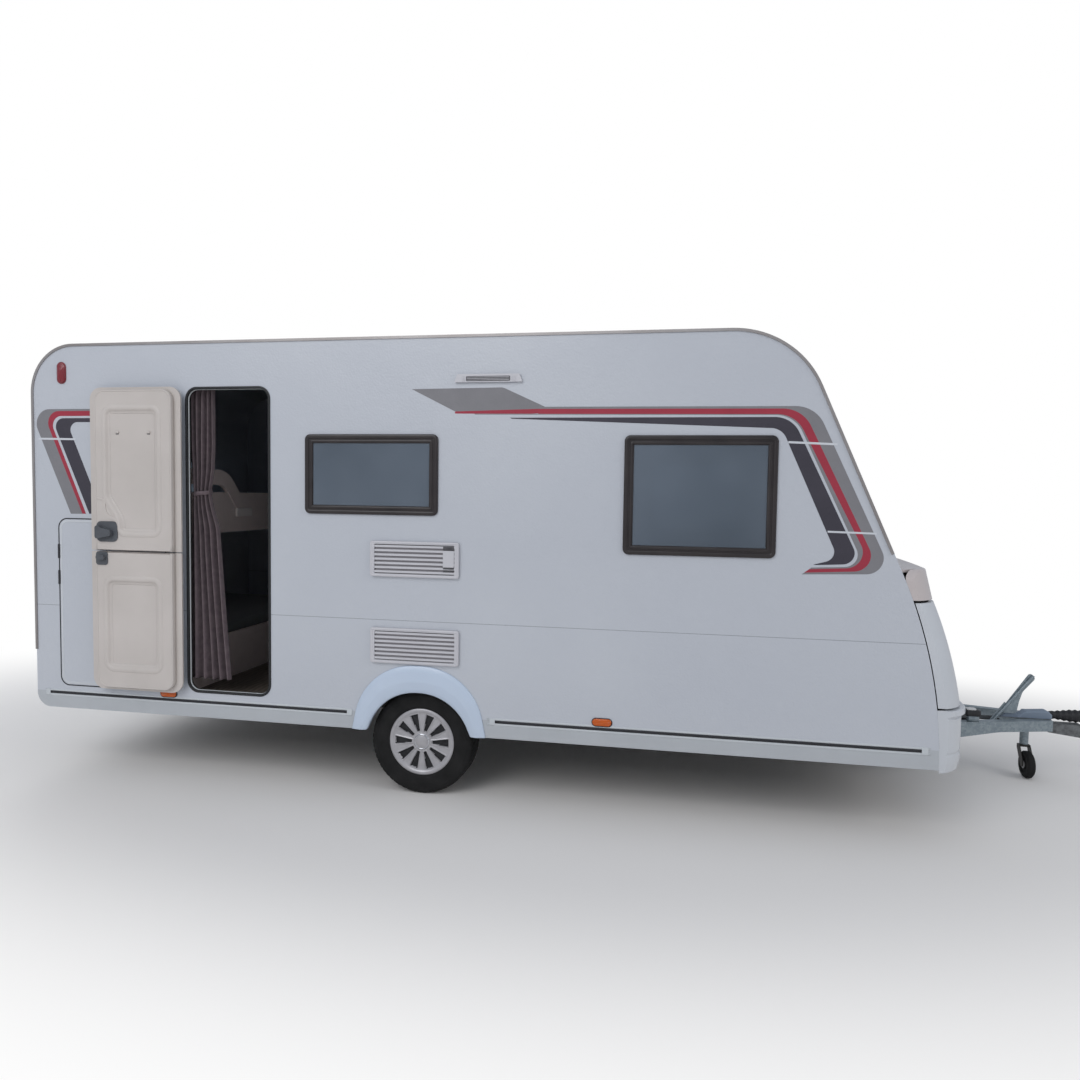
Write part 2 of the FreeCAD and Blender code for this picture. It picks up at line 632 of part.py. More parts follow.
def wheel_arches():
    """The moulded arches: a trim on each wall and the box that covers each wheel."""
    body = piece("wheel_arches")
    trim = corner_lines(arch_path(0) + arch_path(dim.arch_band)[::-1])
    box = raised(arch_path(ARCH_LAP), BOX_FOOT)
    liner = corner_lines(box + raised(arch_path(ARCH_LAP + 5), BOX_FOOT)[::-1])
    inside = "Sizes.body_width / 2 - Sizes.box_depth"
    right = [pad(body, "arch_trim", "XZ", "Sizes.body_width / 2", "Sizes.arch_stand", trim),
             pad(body, "arch_liner", "XZ", inside, "Sizes.box_depth", liner),
             pad(body, "arch_cap", "XZ", inside, "5", corner_lines(box))]
    mirrored(body, "arches_left", "XZ", *right)


BOX_FOOT = 400
wheel_arches()


def windows():
    """Framed acrylic panes in both walls, the front and the rear."""
    body = piece("window_frames")
    front_path = [(roof_front, dim.roof_edge, 0), front_head, (slope_x(PANEL_FOOT), PANEL_FOOT, 0)]
    raised_path = offset_path(front_path, -8)
    sweep_across(body, "front_frame", band(raised_path, 8 - dim.seat_gap), bow(dim.front_bow, inner))
    ring = [box_loop(-inner - 10, inner + 10, RING_FOOT, RING_HEAD),
            centred_loop(0, FRONT_PANE_Z, FRONT_PANE_WIDTH, FRONT_PANE_HEIGHT, 100)]
    pocket(body, "front_frame_outside", "YZ", "Sizes.front_overhang + 400", str(FRONT_CUT), *ring)
    pocket(body, "front_frame_inside", "YZ", "Sizes.front_overhang + 400", str(FRONT_CUT),
           centred_loop(0, FRONT_PANE_Z, FRONT_PANE_WIDTH - 4 * frame_lap,
                        FRONT_PANE_HEIGHT - 4 * frame_lap, 80))
    for name, offset, openings in (("right_frames", "Sizes.body_width / 2", right_windows),
                                   ("left_frames", LEFT_WALL + " - Sizes.frame_stand", left_windows)):
        loops = [shrunk(w, inset) for w in openings for inset in (0, dim.window_frame)]
        pad(body, name, "XZ", offset, "Sizes.frame_stand", *loops)
    x, z, width, height, radius = REAR_PANE
    pad(body, "rear_frame", "YZ", "-Sizes.rear_overhang - Sizes.frame_stand", "Sizes.frame_stand",
        shrunk(REAR_PANE, 0), shrunk(REAR_PANE, dim.window_frame))

    edge = dim.window_frame + dim.seat_gap
    body = piece("window_panes")
    sweep_across(body, "front_pane", band(offset_path(front_path, -6), dim.pane), bow(dim.front_bow, inner))
    ring = [box_loop(-inner - 10, inner + 10, RING_FOOT, RING_HEAD),
            centred_loop(0, FRONT_PANE_Z, FRONT_PANE_WIDTH - 4 * frame_lap - 2 * dim.seat_gap,
                         FRONT_PANE_HEIGHT - 4 * frame_lap - 2 * dim.seat_gap, 80)]
    pocket(body, "front_pane_outside", "YZ", "Sizes.front_overhang + 400", str(FRONT_CUT), *ring)
    pad(body, "rear_pane", "YZ", "-Sizes.rear_overhang - 1 - Sizes.pane", "Sizes.pane",
        shrunk(REAR_PANE, edge))
    for name, offset, openings in (("right", "Sizes.body_width / 2 + 1", right_windows),
                                   ("left", LEFT_WALL + " - 1 - Sizes.pane", left_windows)):
        pad(body, name + "_panes", "XZ", offset, "Sizes.pane", *[shrunk(w, edge) for w in openings])


windows()


def roof_lights():
    """Two clear domes over the holes in the roof."""
    body = piece("roof_lights")
    top = dim.roof_edge + DOME_CURB + DOME_RISE
    for number, (x, width) in enumerate(ROOF_LIGHTS):
        name = f"roof_light_{number}"
        pad(body, name + "_curb", "XY", "Sizes.roof_edge", str(DOME_CURB),
            centred_loop(x, 0, width + 60, width + 60, 40), centred_loop(x, 0, width, width, 30))
        dome = pad(body, name + "_dome", "XY", f"Sizes.roof_edge + {DOME_CURB}", str(DOME_RISE),
                   centred_loop(x, 0, width + 90, width + 90, 60))
        rounded(body, name + "_rim", dome, DOME_RISE - 14,
                lambda point: point.z > top - 1 and abs(point.x - x) < width)


DOME_CURB = 26
DOME_RISE = 46
roof_lights()


def door_seal():
    """The black seal round the doorway."""
    body = piece("door_seal")
    pad(body, "seal_ring", "XZ", "Sizes.body_width / 2 - Sizes.wall", "Sizes.wall + 3",
        shrunk(door_hole, 0), shrunk(door_hole, dim.seal_width))


door_seal()

# The door leaves stand folded back against the wall. Their hinge line lies just outside it.
HINGE_X = -1395
leaf_rear_y = half + dim.leaf_stand
hinge_y = (leaf_rear_y + half + 3 + dim.seam + dim.leaf_skin) / 2
leaf_end = 2 * HINGE_X - (dim.door_centre + dim.leaf_width / 2 + 4)
leaf_near = leaf_end + dim.leaf_width
LINING_INSET = dim.seal_width + 8
PANEL_RIM = 14
PANEL_FAR = -1838
PANEL_NEAR = -1507
LATCH_NOTCH = 92


def recess(grow, low, high, notch):
    """The outline of a leaf's recessed panel, drawn out by grow, with a notch beside the handle."""
    left = PANEL_FAR - grow
    right = PANEL_NEAR + grow
    step = left + LATCH_NOTCH
    corners = [(left, high + grow, 40 + grow)]
    if notch:
        corners += [(left, low + 105 - grow, 50), (step, low + 80 - grow, 50), (step, low - grow, 30)]
    else:
        corners += [(left, low - grow, 40 + grow)]
    return corner_lines(corners + [(right, low - grow, 40 + grow), (right, high + grow, 40 + grow)])


def door_leaf(name, low, high, low_round, high_round, panel):
    """Half of the stable door: an outer skin and the moulded lining that fits the doorway."""
    body = piece(name)
    skin = [(leaf_end, low, low_round), (leaf_near, low, low_round),
            (leaf_near, high, high_round), (leaf_end, high, high_round)]
    lining_low = low + (LINING_INSET if low_round > SPLIT_ROUND else SPLIT_ROUND)
    lining_high = high - (LINING_INSET if high_round > SPLIT_ROUND else SPLIT_ROUND)
    near = 2 * HINGE_X - (dim.door_centre - dim.door_width / 2 + LINING_INSET)
    far = 2 * HINGE_X - (dim.door_centre + dim.door_width / 2 - LINING_INSET)
    low_bend = max(low_round - PANEL_RIM, SPLIT_ROUND)
    high_bend = max(high_round - PANEL_RIM, SPLIT_ROUND)
    lining = [(far, lining_low, low_bend), (near, lining_low, low_bend),
              (near, lining_high, high_bend), (far, lining_high, high_bend)]
    face = "Sizes.body_width / 2 + Sizes.leaf_stand + Sizes.leaf_skin + Sizes.leaf_lining"
    pad(body, name + "_skin", "XZ", "Sizes.body_width / 2 + Sizes.leaf_stand", "Sizes.leaf_skin",
        corner_lines(skin))
    pad(body, name + "_lining", "XZ", "Sizes.body_width / 2 + Sizes.leaf_stand + Sizes.leaf_skin",
        "Sizes.leaf_lining", corner_lines(lining))
    pad(body, name + "_rim", "XZ", face, "4", recess(PANEL_RIM, *panel), recess(0, *panel))
    pocket(body, name + "_panel", "XZ", face, "10", recess(0, *panel))
    for number, height in enumerate((low + 120, high - 180)):
        bore = Part.Circle(FreeCAD.Vector(HINGE_X, -hinge_y, 0), FreeCAD.Vector(0, 0, 1),
                           HINGE_PIN + dim.spindle_play)
        knuckle = corner_lines([(HINGE_X - 7, -leaf_rear_y, 0), (HINGE_X + 7, -leaf_rear_y, 0),
                                (HINGE_X + 7, 7 - hinge_y, 6), (HINGE_X - 7, 7 - hinge_y, 6)])
        pad(body, f"{name}_knuckle_{number}", "XY", str(height), "60", knuckle, [bore])


SPLIT_ROUND = 6
SPLIT_GAP = 3
LOWER_PANEL = (dim.door_sill + 133, dim.leaf_split - 163, False)
UPPER_PANEL = (dim.leaf_split + 105, door_head - 128, True)
door_leaf("door_lower", dim.door_sill + 2, dim.leaf_split - SPLIT_GAP, dim.door_round, SPLIT_ROUND, LOWER_PANEL)
door_leaf("door_upper", dim.leaf_split + SPLIT_GAP, door_head - 4, SPLIT_ROUND, dim.door_round, UPPER_PANEL)


def door_hinges():
    """The fixed side of the hinges: one long pin on four arms that reach round the leaf."""
    body = piece("door_hinges")
    pin = [Part.Circle(FreeCAD.Vector(HINGE_X, -hinge_y, 0), FreeCAD.Vector(0, 0, 1), HINGE_PIN)]
    foot = dim.door_sill + 30
    pad(body, "hinge_pin", "XY", str(foot), str(door_height - 60), pin)
    tip = HINGE_X + HINGE_PIN
    heel = HINGE_X - 20
    toe = HINGE_X - 48
    plate = HINGE_PIN
    arm = [(tip, -hinge_y - plate, 3), (tip, plate - hinge_y, 0), (heel, plate - hinge_y, 0),
           (heel, -half, 0), (toe, -half, 0), (toe, -half - plate, 0), (heel - 8, -half - plate, 0),
           (heel - 8, -hinge_y - plate, 4)]
    heights = (foot, dim.leaf_split - 90, dim.leaf_split + 30, foot + door_height - 130)
    for number, height in enumerate(heights):
        pad(body, f"hinge_arm_{number}", "XY", str(height), "40", corner_lines(arm))


door_hinges()


def door_handles():
    """The inside handles of the two leaves."""
    stand = "Sizes.body_width / 2 + Sizes.leaf_stand + Sizes.leaf_skin + Sizes.leaf_lining"
    body = piece("door_handle_upper")
    split = dim.leaf_split
    pad(body, "upper_plate", "XZ", stand, "6", centred_loop(-1830, split + 112, 134, 116, 30))
    pad(body, "upper_grip", "XZ", stand + " + 6", "26", corner_lines([
        (-1888, split + 69, 14), (-1790, split + 89, 10), (-1790, split + 121, 10),
        (-1850, split + 133, 10), (-1888, split + 157, 14)]))
    body = piece("door_handle_lower")
    pad(body, "lower_plate", "XZ", stand, "5", centred_loop(-1866, split - 41, 74, 76, 16))
    pad(body, "lower_knob", "XZ", stand + " + 5", "22", centred_loop(-1862, split - 35, 52, 26, 12))


door_handles()


def service_hatch():
    """The flush hatch low in the rear of the wall."""
    body = piece("service_hatch")
    pad(body, "hatch_sheet", "XZ", "Sizes.body_width / 2 - Sizes.wall", "Sizes.wall",
        shrunk(hatch_hole, dim.seat_gap))


service_hatch()


def side_vents():
    """The two refrigerator grilles and the small cooker vent on the right wall."""
    body = piece("side_vents")
    room = rear_window_z - dim.rear_window_height / 2 - dim.arch_height
    height = room * VENT_SHARE
    opening = height - 2 * VENT_EDGE
    pitch = opening / VENT_SLATS
    for name, x, share in (("upper_vent", -24, UPPER_VENT), ("lower_vent", -21, LOWER_VENT)):
        z = dim.arch_height + share * room
        pad(body, name + "_back", "XZ", "Sizes.body_width / 2", "3", centred_loop(x, z, VENT_WIDTH, height, 14))
        pad(body, name + "_frame", "XZ", "Sizes.body_width / 2", "Sizes.grille_depth",
            centred_loop(x, z, VENT_WIDTH, height, 14), centred_loop(x, z, VENT_WIDTH - 46, opening, 8))
        foot = z - opening / 2 + pitch / 4
        slat = pad(body, name + "_slat", "XZ", "Sizes.body_width / 2", "Sizes.grille_depth - 3",
                   box_loop(x - VENT_WIDTH / 2 + 21, x + VENT_WIDTH / 2 - 21, foot, foot + pitch / 2))
        repeated(body, name + "_slats", slat, "V_Axis", pitch * (VENT_SLATS - 1), VENT_SLATS)
    head = dim.roof_edge - COOKER_DROP
    pad(body, "cooker_vent", "XZ", "Sizes.body_width / 2", "16", corner_lines(
        [(191, head - 42, 4), (557, head - 42, 4), (540, head, 4), (208, head, 4)]))


VENT_SHARE = 0.235
UPPER_VENT = 0.711
LOWER_VENT = 0.1346
VENT_WIDTH = 498
VENT_EDGE = 16
VENT_SLATS = 7
COOKER_DROP = 208
side_vents()


def lamps():
    """Side markers, upper markers and the rear lamp clusters on their board."""
    body = piece("side_markers")
    spots = [centred_loop(x, 483, 109, 46, 22) for x in (1000, -1506)]
    markers = pad(body, "markers", "XZ", "Sizes.body_width / 2", "12", *spots)
    mirrored(body, "markers_left", "XZ", markers)
    body = piece("rear_board")
    board = "-Sizes.rear_overhang - 24"
    pad(body, "lamp_board", "YZ", board, "24", centred_loop(0, 640, 2120, 190, 40))
    pad(body, "plate_plinth", "YZ", "-Sizes.rear_overhang - 32", "8", centred_loop(0, 640, 540, 130, 10))
    body = piece("rear_lamps")
    upper = pad(body, "upper_lamp", "XZ", "Sizes.body_width / 2", "18",
                centred_loop(-2180, dim.roof_edge - 166, 60, 126, 29))
    front = "-Sizes.rear_overhang - 56"
    cluster = pad(body, "cluster", "YZ", front, "32", centred_loop(-880, 640, 300, 120, 30))
    mirrored(body, "lamps_left", "XZ", upper, cluster)
    body = piece("grab_handles")
    reach = rear_face - GRIP_REACH
    grip = band([(rear_face, GRIP_FOOT, 0), (reach, GRIP_FOOT, 24), (reach, GRIP_HEAD, 24),
                 (rear_face, GRIP_HEAD, 0)], 16)
    bar = pad(body, "grab_handle", "XZ", "880", "26", grip)
    mirrored(body, "grab_handle_left", "XZ", bar)


GRIP_REACH = 52
GRIP_FOOT = 1010
GRIP_HEAD = 1190
lamps()


def awning_rails():
    """The aluminium rail that caps each joint between side wall and roof, front and rear."""
    body = piece("awning_rails")
    path = [(rear_face, 700, 0), rear_head, front_head, (slope_x(1400), 1400, 0)]
    rail = pad(body, "rail", "XZ", "Sizes.body_width / 2", "6", band(path, RAIL_FACE))
    mirrored(body, "rail_left", "XZ", rail)


RAIL_FACE = 14
awning_rails()

underside = dim.floor_top - dim.floor_board
rail_y = dim.rail_spread / 2
hub_z = dim.tyre_radius
wheel_face = half - dim.tyre_inset
wheel_mid = wheel_face - dim.tyre_width / 2
RAIL_FRONT = 2200
RAIL_REAR = 2100


def chassis():
    """Two pressed rails below the floor, two cross members and the converging drawbar."""
    body = piece("chassis_rails")
    foot = underside - dim.rail_height
    web = -rail_y + RAIL_PLATE
    lip = -rail_y + dim.rail_width
    profile = [(-rail_y, underside), (-rail_y, foot), (lip, foot), (lip, foot + RAIL_PLATE),
               (web, foot + RAIL_PLATE), (web, underside - RAIL_PLATE), (lip, underside - RAIL_PLATE),
               (lip, underside)]
    rail = pad(body, "rail_profile", "YZ", str(-RAIL_REAR), str(RAIL_REAR + RAIL_FRONT),
               corner_lines([(y, z, 0) for y, z in profile]))
    jack = pad(body, "jacking_pad", "XY", str(foot - JACK_DROP), str(JACK_DROP),
               box_loop(-JACK_REACH - 100, -JACK_REACH, -rail_y, dim.rail_width - rail_y))
    mirrored(body, "rail_other", "XZ", rail, jack)

    body = piece("cross_members")
    reach = rail_y - dim.rail_width - 1
    for number, x in enumerate((-1900, -700, 900)):
        pad(body, f"cross_{number}", "YZ", str(x), "40", box_loop(-reach, reach, underside - 60, underside))

    body = piece("drawbar")
    tail_y = rail_y - dim.rail_width - dim.seat_gap
    length = math.hypot(TIP_X - TAIL_X, tail_y - TIP_Y)
    across = dim.drawbar_width * length / (TIP_X - TAIL_X)
    arm = [(TAIL_X, -tail_y, 0), (TIP_X, -TIP_Y, 0), (TIP_X, across - TIP_Y, 0), (TAIL_X, across - tail_y, 0)]
    foot = dim.drawbar_top - dim.drawbar_depth
    feature = pad(body, "drawbar_arm", "XY", str(foot), "Sizes.drawbar_depth", corner_lines(arm))
    mirrored(body, "drawbar_other", "XZ", feature)
    shallow = foot + dim.drawbar_taper
    pocket(body, "drawbar_taper", "XZ", "Sizes.rail_spread", "2 * Sizes.rail_spread", corner_lines([
        (TAPER_X, foot - 5, 0), (TAPER_X, foot, 0), (TAPER_X + 260, shallow, 400), (TIP_X + 5, shallow, 0),
        (TIP_X + 5, foot - 5, 0)]))
    narrowing = (tail_y - TIP_Y) / (TIP_X - TAIL_X)
    reach = TIP_Y + narrowing * GUSSET - 5
    pad(body, "drawbar_gusset", "XY", str(shallow), "8", corner_lines([
        (TIP_X - GUSSET, -reach, 0), (TIP_X, 5 - TIP_Y, 0), (TIP_X, TIP_Y - 5, 0), (TIP_X - GUSSET, reach, 0)]))
    for side in (-1, 1):
        y = tail_y - across / 2 - narrowing * 90
        pad(body, f"drawbar_post_{side + 1}", "XY", "Sizes.drawbar_top", str(underside - dim.drawbar_top),
            centred_loop(TAIL_X + 90, side * y, 60, 36))


RAIL_PLATE = 5
TAIL_X = 1980
TIP_Y = 95
GUSSET = 60
TIP_X = dim.drawbar_tip
TAPER_X = TIP_X - 580
JACK_DROP = 30
JACK_REACH = 230
chassis()


BRACKET = 6


def axle():
    """The rubber-sprung axle: a square tube, two trailing arms and their stub axles."""
    body = piece("axle")
    tube_x = dim.arm_reach
    side = dim.axle_tube / 2
    rail_foot = underside - dim.rail_height
    tube_z = rail_foot - BRACKET - side
    arm_in = wheel_face - dim.tyre_width - 50
    pad(body, "axle_beam", "XZ", str(-arm_in), str(2 * arm_in),
        centred_loop(tube_x, tube_z, dim.axle_tube, dim.axle_tube, 12))
    arm = [(tube_x, tube_z + side, 30), (tube_x + side, tube_z, 30), (tube_x, tube_z - side, 30),
           (-30, hub_z - 32, 30), (-40, hub_z + 10, 24), (0, hub_z + 38, 20)]
    stub_end = wheel_mid + 29
    for name, start, hub in (("arm_right", arm_in, arm_in + 40), ("arm_left", -arm_in - 40, -stub_end)):
        pad(body, name, "XZ", str(start), "40", corner_lines(arm))
        circle = [Part.Circle(FreeCAD.Vector(0, hub_z, 0), FreeCAD.Vector(0, 0, 1), dim.track_spindle)]
        pad(body, name + "_stub", "XZ", str(hub), str(stub_end - arm_in - 40), circle)
    for side_sign in (-1, 1):
        pad(body, f"axle_bracket_{side_sign + 1}", "XZ", str(side_sign * (rail_y - 25) - 25), "50",
            box_loop(tube_x - 60, tube_x + 60, tube_z + side, rail_foot))


def wheel(side_name, side):
    """Tyre, steel rim with its hub, and plastic trim, turned about the stub axle."""
    width = dim.tyre_width / 2
    inner_edge = dim.rim_radius
    body = piece("tyre_" + side_name)
    tread = dim.tyre_radius
    right = [(width * 0.78, inner_edge), (width * 0.95, inner_edge + 22), (width, inner_edge + 48),
             (width * 0.96, tread - 26), (width * 0.84, tread - 6), (width * 0.66, tread)]
    profile = [(-y, z, 0) for y, z in right] + [(y, z, 0) for y, z in right[::-1]]
    turned(body, "tyre_section", "YZ", "H_Axis", corner_lines(profile))
    seat(body, 0, side * wheel_mid, hub_z)

    body = piece("rim_" + side_name)
    bore = dim.track_spindle + dim.spindle_play
    face = width - 40
    bead = width * 0.78
    rim = [(-bead, inner_edge - 0.3), (-bead, inner_edge - 12), (face - 8, inner_edge - 14),
           (face - 8, 66), (-56, 60), (-56, 108), (-94, 108), (-94, bore), (30, bore), (62, 30), (face, 66),
           (face, inner_edge - 24), (bead, inner_edge - 12), (bead, inner_edge - 0.3)]
    turned(body, "rim_section", "YZ", "H_Axis", corner_lines([(side * y, z, 0) for y, z in rim]))
    seat(body, 0, side * wheel_mid, hub_z)

    body = piece("wheel_trim_" + side_name)
    back = bead + dim.seat_gap
    trim = [(back, inner_edge - 6), (back + 6, inner_edge + 8), (back + 12, inner_edge - 2),
            (back - 6, 40), (back - 6, 1), (back - 9, 1), (back - 9, 42), (back, inner_edge - 20)]
    turned(body, "trim_section", "YZ", "H_Axis", corner_lines([(side * y, z, 0) for y, z in trim]))
    slot = pocket(body, "trim_slot", "XZ", str(100 if side < 0 else -50), "60", corner_lines([
        (-TRIM_SLOT / 3, TRIM_SLOT_FOOT, 4), (TRIM_SLOT / 3, TRIM_SLOT_FOOT, 4),
        (TRIM_SLOT, TRIM_SLOT_HEAD, 9), (-TRIM_SLOT, TRIM_SLOT_HEAD, 9)]))
    repeated(body, "trim_slots", slot, "N_Axis", 360, TRIM_SPOKES, True)
    seat(body, 0, side * wheel_mid, hub_z)


def seat(body, x, y, z):
    """Carries a piece drawn round its own axis to its place."""
    body.Placement.Base = FreeCAD.Vector(x, y, z)


TRIM_SPOKES = 10
TRIM_SLOT = 22
TRIM_SLOT_FOOT = 60
TRIM_SLOT_HEAD = 151
axle()
for side_name, side in (("right", -1), ("left", 1)):
    wheel(side_name, side)


HEAD_BACK = dim.coupling_reach - 153
PLATE_REAR = TIP_X - 280
PLATE_HALF = 70
PLATE_LEFT = 4
COVER_REAR = TIP_X - 186
COVER_NOSE = 10
BELLOWS_FOLDS = 6


def coupling():
    """The overrun hitch: base plate, cover, casting, bellows, coupling head and handbrake lever."""
    body = piece("overrun_housing")
    base = dim.drawbar_top
    plate = [(PLATE_REAR, -PLATE_HALF, 12), (TIP_X, -PLATE_HALF, 0), (TIP_X, PLATE_HALF, 0),
             (TIP_X - 65, PLATE_HALF, 0), (TIP_X - 65, PLATE_LEFT, 0), (PLATE_REAR, PLATE_LEFT, 12)]
    edge = TIP_X + dim.seat_gap
    pad(body, "base_plate", "XY", "Sizes.drawbar_top", "6", corner_lines(plate))
    cover = pad(body, "housing_cover", "XZ", str(-PLATE_LEFT), str(PLATE_LEFT + PLATE_HALF - 8), corner_lines([
        (COVER_REAR, base + 3, 0), (COVER_REAR + 50, base + 41, 20), (TIP_X - 16, base + 50, 24),
        (TIP_X + COVER_NOSE, base + 26, 12), (TIP_X + COVER_NOSE, base + 3, 0)]))
    rounded(body, "cover_edges", cover, 9, lambda point: point.z > base + 8 and point.z < base + 60)
    pad(body, "housing_casting", "XZ", "-34", "68", corner_lines([
        (edge, base + 3, 0), (edge, base - 84, 0), (TIP_X + 70, base - 93, 30),
        (HEAD_BACK - 22, base - 108, 10), (HEAD_BACK - 22, base - 32, 8),
        (TIP_X + COVER_NOSE, base - 32, 0), (TIP_X + COVER_NOSE, base + 3, 0)]))
    pad(body, "lever_stand", "XZ", str(PLATE_HALF - 12), "6", corner_lines([
        (PLATE_REAR + 14, base + 2, 0), (PLATE_REAR + 40, base + 40, 10), (COVER_REAR - 4, base + 40, 10),
        (COVER_REAR + 10, base + 2, 0)]))

    body = piece("bellows")
    z = dim.ball_height
    start = TIP_X + 14
    fold = (HEAD_BACK - 6 - start) / (2 * BELLOWS_FOLDS)
    bore = dim.overrun_shaft + dim.seat_gap
    outline = [(start, bore, 0)]
    for number in range(2 * BELLOWS_FOLDS + 1):
        share = number / (2 * BELLOWS_FOLDS)
        radius = dim.gaiter_neck + (dim.gaiter_radius - dim.gaiter_neck) * min(1, 1.6 * share)
        outline.append((start + fold * number, radius if number % 2 else max(radius - 6, bore + 2), 0))
    outline.append((start + fold * 2 * BELLOWS_FOLDS, bore, 0))
    turned(body, "bellows_section", "XY", "H_Axis", corner_lines(outline))
    seat(body, 0, 0, z)

    body = piece("coupling_head")
    shaft = [Part.Circle(FreeCAD.Vector(0, z, 0), FreeCAD.Vector(0, 0, 1), dim.overrun_shaft)]
    shaft_end = TIP_X + COVER_NOSE + dim.seat_gap
    pad(body, "shaft", "YZ", str(shaft_end), str(HEAD_BACK + 20 - shaft_end), shaft)
    front = dim.coupling_reach + 48
    ball_x = dim.coupling_reach
    head = [(HEAD_BACK, z - 30, 8), (ball_x - 30, z - 34, 8), (front, z - 34, 12), (front, z + 14, 26),
            (ball_x - 10, z + 42, 16), (HEAD_BACK, z + 34, 10)]
    pad(body, "head_block", "XZ", "-38", "76", corner_lines(head))
    pad(body, "head_handle", "XZ", "-14", "28", corner_lines([
        (HEAD_BACK + 20, z + 30, 0), (HEAD_BACK + 20, z + 62, 8), (ball_x - 20, z + 74, 16),
        (ball_x + 6, z + 58, 8), (ball_x - 40, z + 52, 14), (HEAD_BACK + 60, z + 48, 10),
        (HEAD_BACK + 60, z + 30, 0)]))
    socket = body.newObject("PartDesign::Pocket", "socket_pocket")
    circle = [Part.Circle(FreeCAD.Vector(dim.coupling_reach, 0, 0), FreeCAD.Vector(0, 0, 1), dim.ball_socket)]
    socket.Profile = sketch_on(body, "socket", "XY", "Sizes.ball_height - 40", circle)
    socket.Length = 62
    socket.Reversed = True

    body = piece("handbrake_lever")
    near = PLATE_HALF - 6 + dim.seat_gap
    x = PLATE_REAR
    pad(body, "lever_rod", "XZ", str(near), "10", corner_lines([
        (x - 76, base - 50, 5), (x - 62, base - 68, 5), (x + 36, base + 82, 0), (x + 22, base + 92, 0)]))
    pad(body, "lever_plate", "XZ", str(near), "10", corner_lines([
        (x + 12, base + 28, 10), (x + 86, base + 28, 14), (x + 99, base + 100, 60), (x + 116, base + 160, 60),
        (x + 182, base + 242, 16), (x + 156, base + 280, 15), (x + 10, base + 56, 0)]))


coupling()


CLAMP_Z = 312
FORK_STEM = 12


def jockey():
    """The jockey wheel: a clamp on the drawbar, its tube, a swivelling fork and the wheel, turned sideways."""
    x = dim.jockey_reach
    y = dim.jockey_offset
    upright = FreeCAD.Vector(0, 0, 1)
    centre = FreeCAD.Vector(x, y, 0)
    body = piece("jockey_clamp")
    ring = Part.Circle(centre, upright, dim.jockey_tube + 8)
    hole = Part.Circle(centre, upright, dim.jockey_tube + dim.seat_gap)
    pad(body, "clamp_ring", "XY", str(CLAMP_Z), "44", [ring], [hole])
    tail_y = rail_y - dim.rail_width - dim.seat_gap
    narrowing = (tail_y - TIP_Y) / (TIP_X - TAIL_X)
    across = dim.drawbar_width * math.hypot(1, narrowing)
    edge = TIP_Y + narrowing * (TIP_X - x) - across - dim.seat_gap
    slant = CLAMP_HALF * narrowing
    pad(body, "clamp_lug", "XY", str(CLAMP_Z), "44", corner_lines([
        (x - CLAMP_HALF, edge + slant, 0), (x + CLAMP_HALF, edge - slant, 0),
        (x + CLAMP_HALF, y + 12, 0), (x + 22, y + 12, 0), (x + 12, y + 26, 0), (x - 12, y + 26, 0),
        (x - 22, y + 12, 0), (x - CLAMP_HALF, y + 12, 0)]))
    body = piece("jockey_tube")
    tube_foot = 2 * dim.jockey_radius + 30
    pad(body, "outer_tube", "XY", str(tube_foot), str(dim.jockey_head - tube_foot),
        [Part.Circle(centre, upright, dim.jockey_tube)],
        [Part.Circle(centre, upright, FORK_STEM + dim.spindle_play)])
    pad(body, "tube_cap", "XY", "Sizes.jockey_head", "6", [Part.Circle(centre, upright, dim.jockey_tube)])
    body = piece("jockey_fork")
    inside = dim.jockey_width / 2 + 4
    crown = 2 * dim.jockey_radius + 14
    hub_y = y - dim.jockey_trail
    arm = [(hub_y - 14, dim.jockey_radius - 14, 12), (hub_y + 14, dim.jockey_radius - 14, 12), (y + 18, crown - 10, 0),
           (y + 18, crown + 12, 0), (y - 18, crown + 12, 0), (hub_y - 14, dim.jockey_radius + 30, 20)]
    pad(body, "fork_arm_front", "YZ", str(x + inside), "5", corner_lines(arm))
    pad(body, "fork_arm_rear", "YZ", str(x - inside - 5), "5", corner_lines(arm))
    pad(body, "fork_crown", "XY", str(crown), "12", box_loop(x - inside - 5, x + inside + 5, y - 18, y + 18))
    pad(body, "fork_stem", "XY", str(crown + 12), "170", [Part.Circle(centre, upright, FORK_STEM)])
    pin = [Part.Circle(FreeCAD.Vector(hub_y, dim.jockey_radius, 0), upright, 7)]
    pad(body, "fork_pin", "YZ", str(x - inside - 2), str(2 * inside + 4), pin)
    body = piece("jockey_wheel")
    width = dim.jockey_width / 2
    bore = 7 + dim.spindle_play
    turned(body, "jockey_section", "XY", "H_Axis", corner_lines([
        (-width, bore, 0), (-width, 26, 0), (8 - width, 30, 0), (8 - width, 50, 0), (-width, 54, 0),
        (-width, dim.jockey_radius - 10, 0), (10 - width, dim.jockey_radius, 0),
        (width - 10, dim.jockey_radius, 0), (width, dim.jockey_radius - 10, 0), (width, 54, 0),
        (width - 8, 50, 0), (width - 8, 30, 0), (width, 26, 0), (width, bore, 0)]))
    seat(body, x, hub_y, dim.jockey_radius)


CLAMP_HALF = 30
jockey()


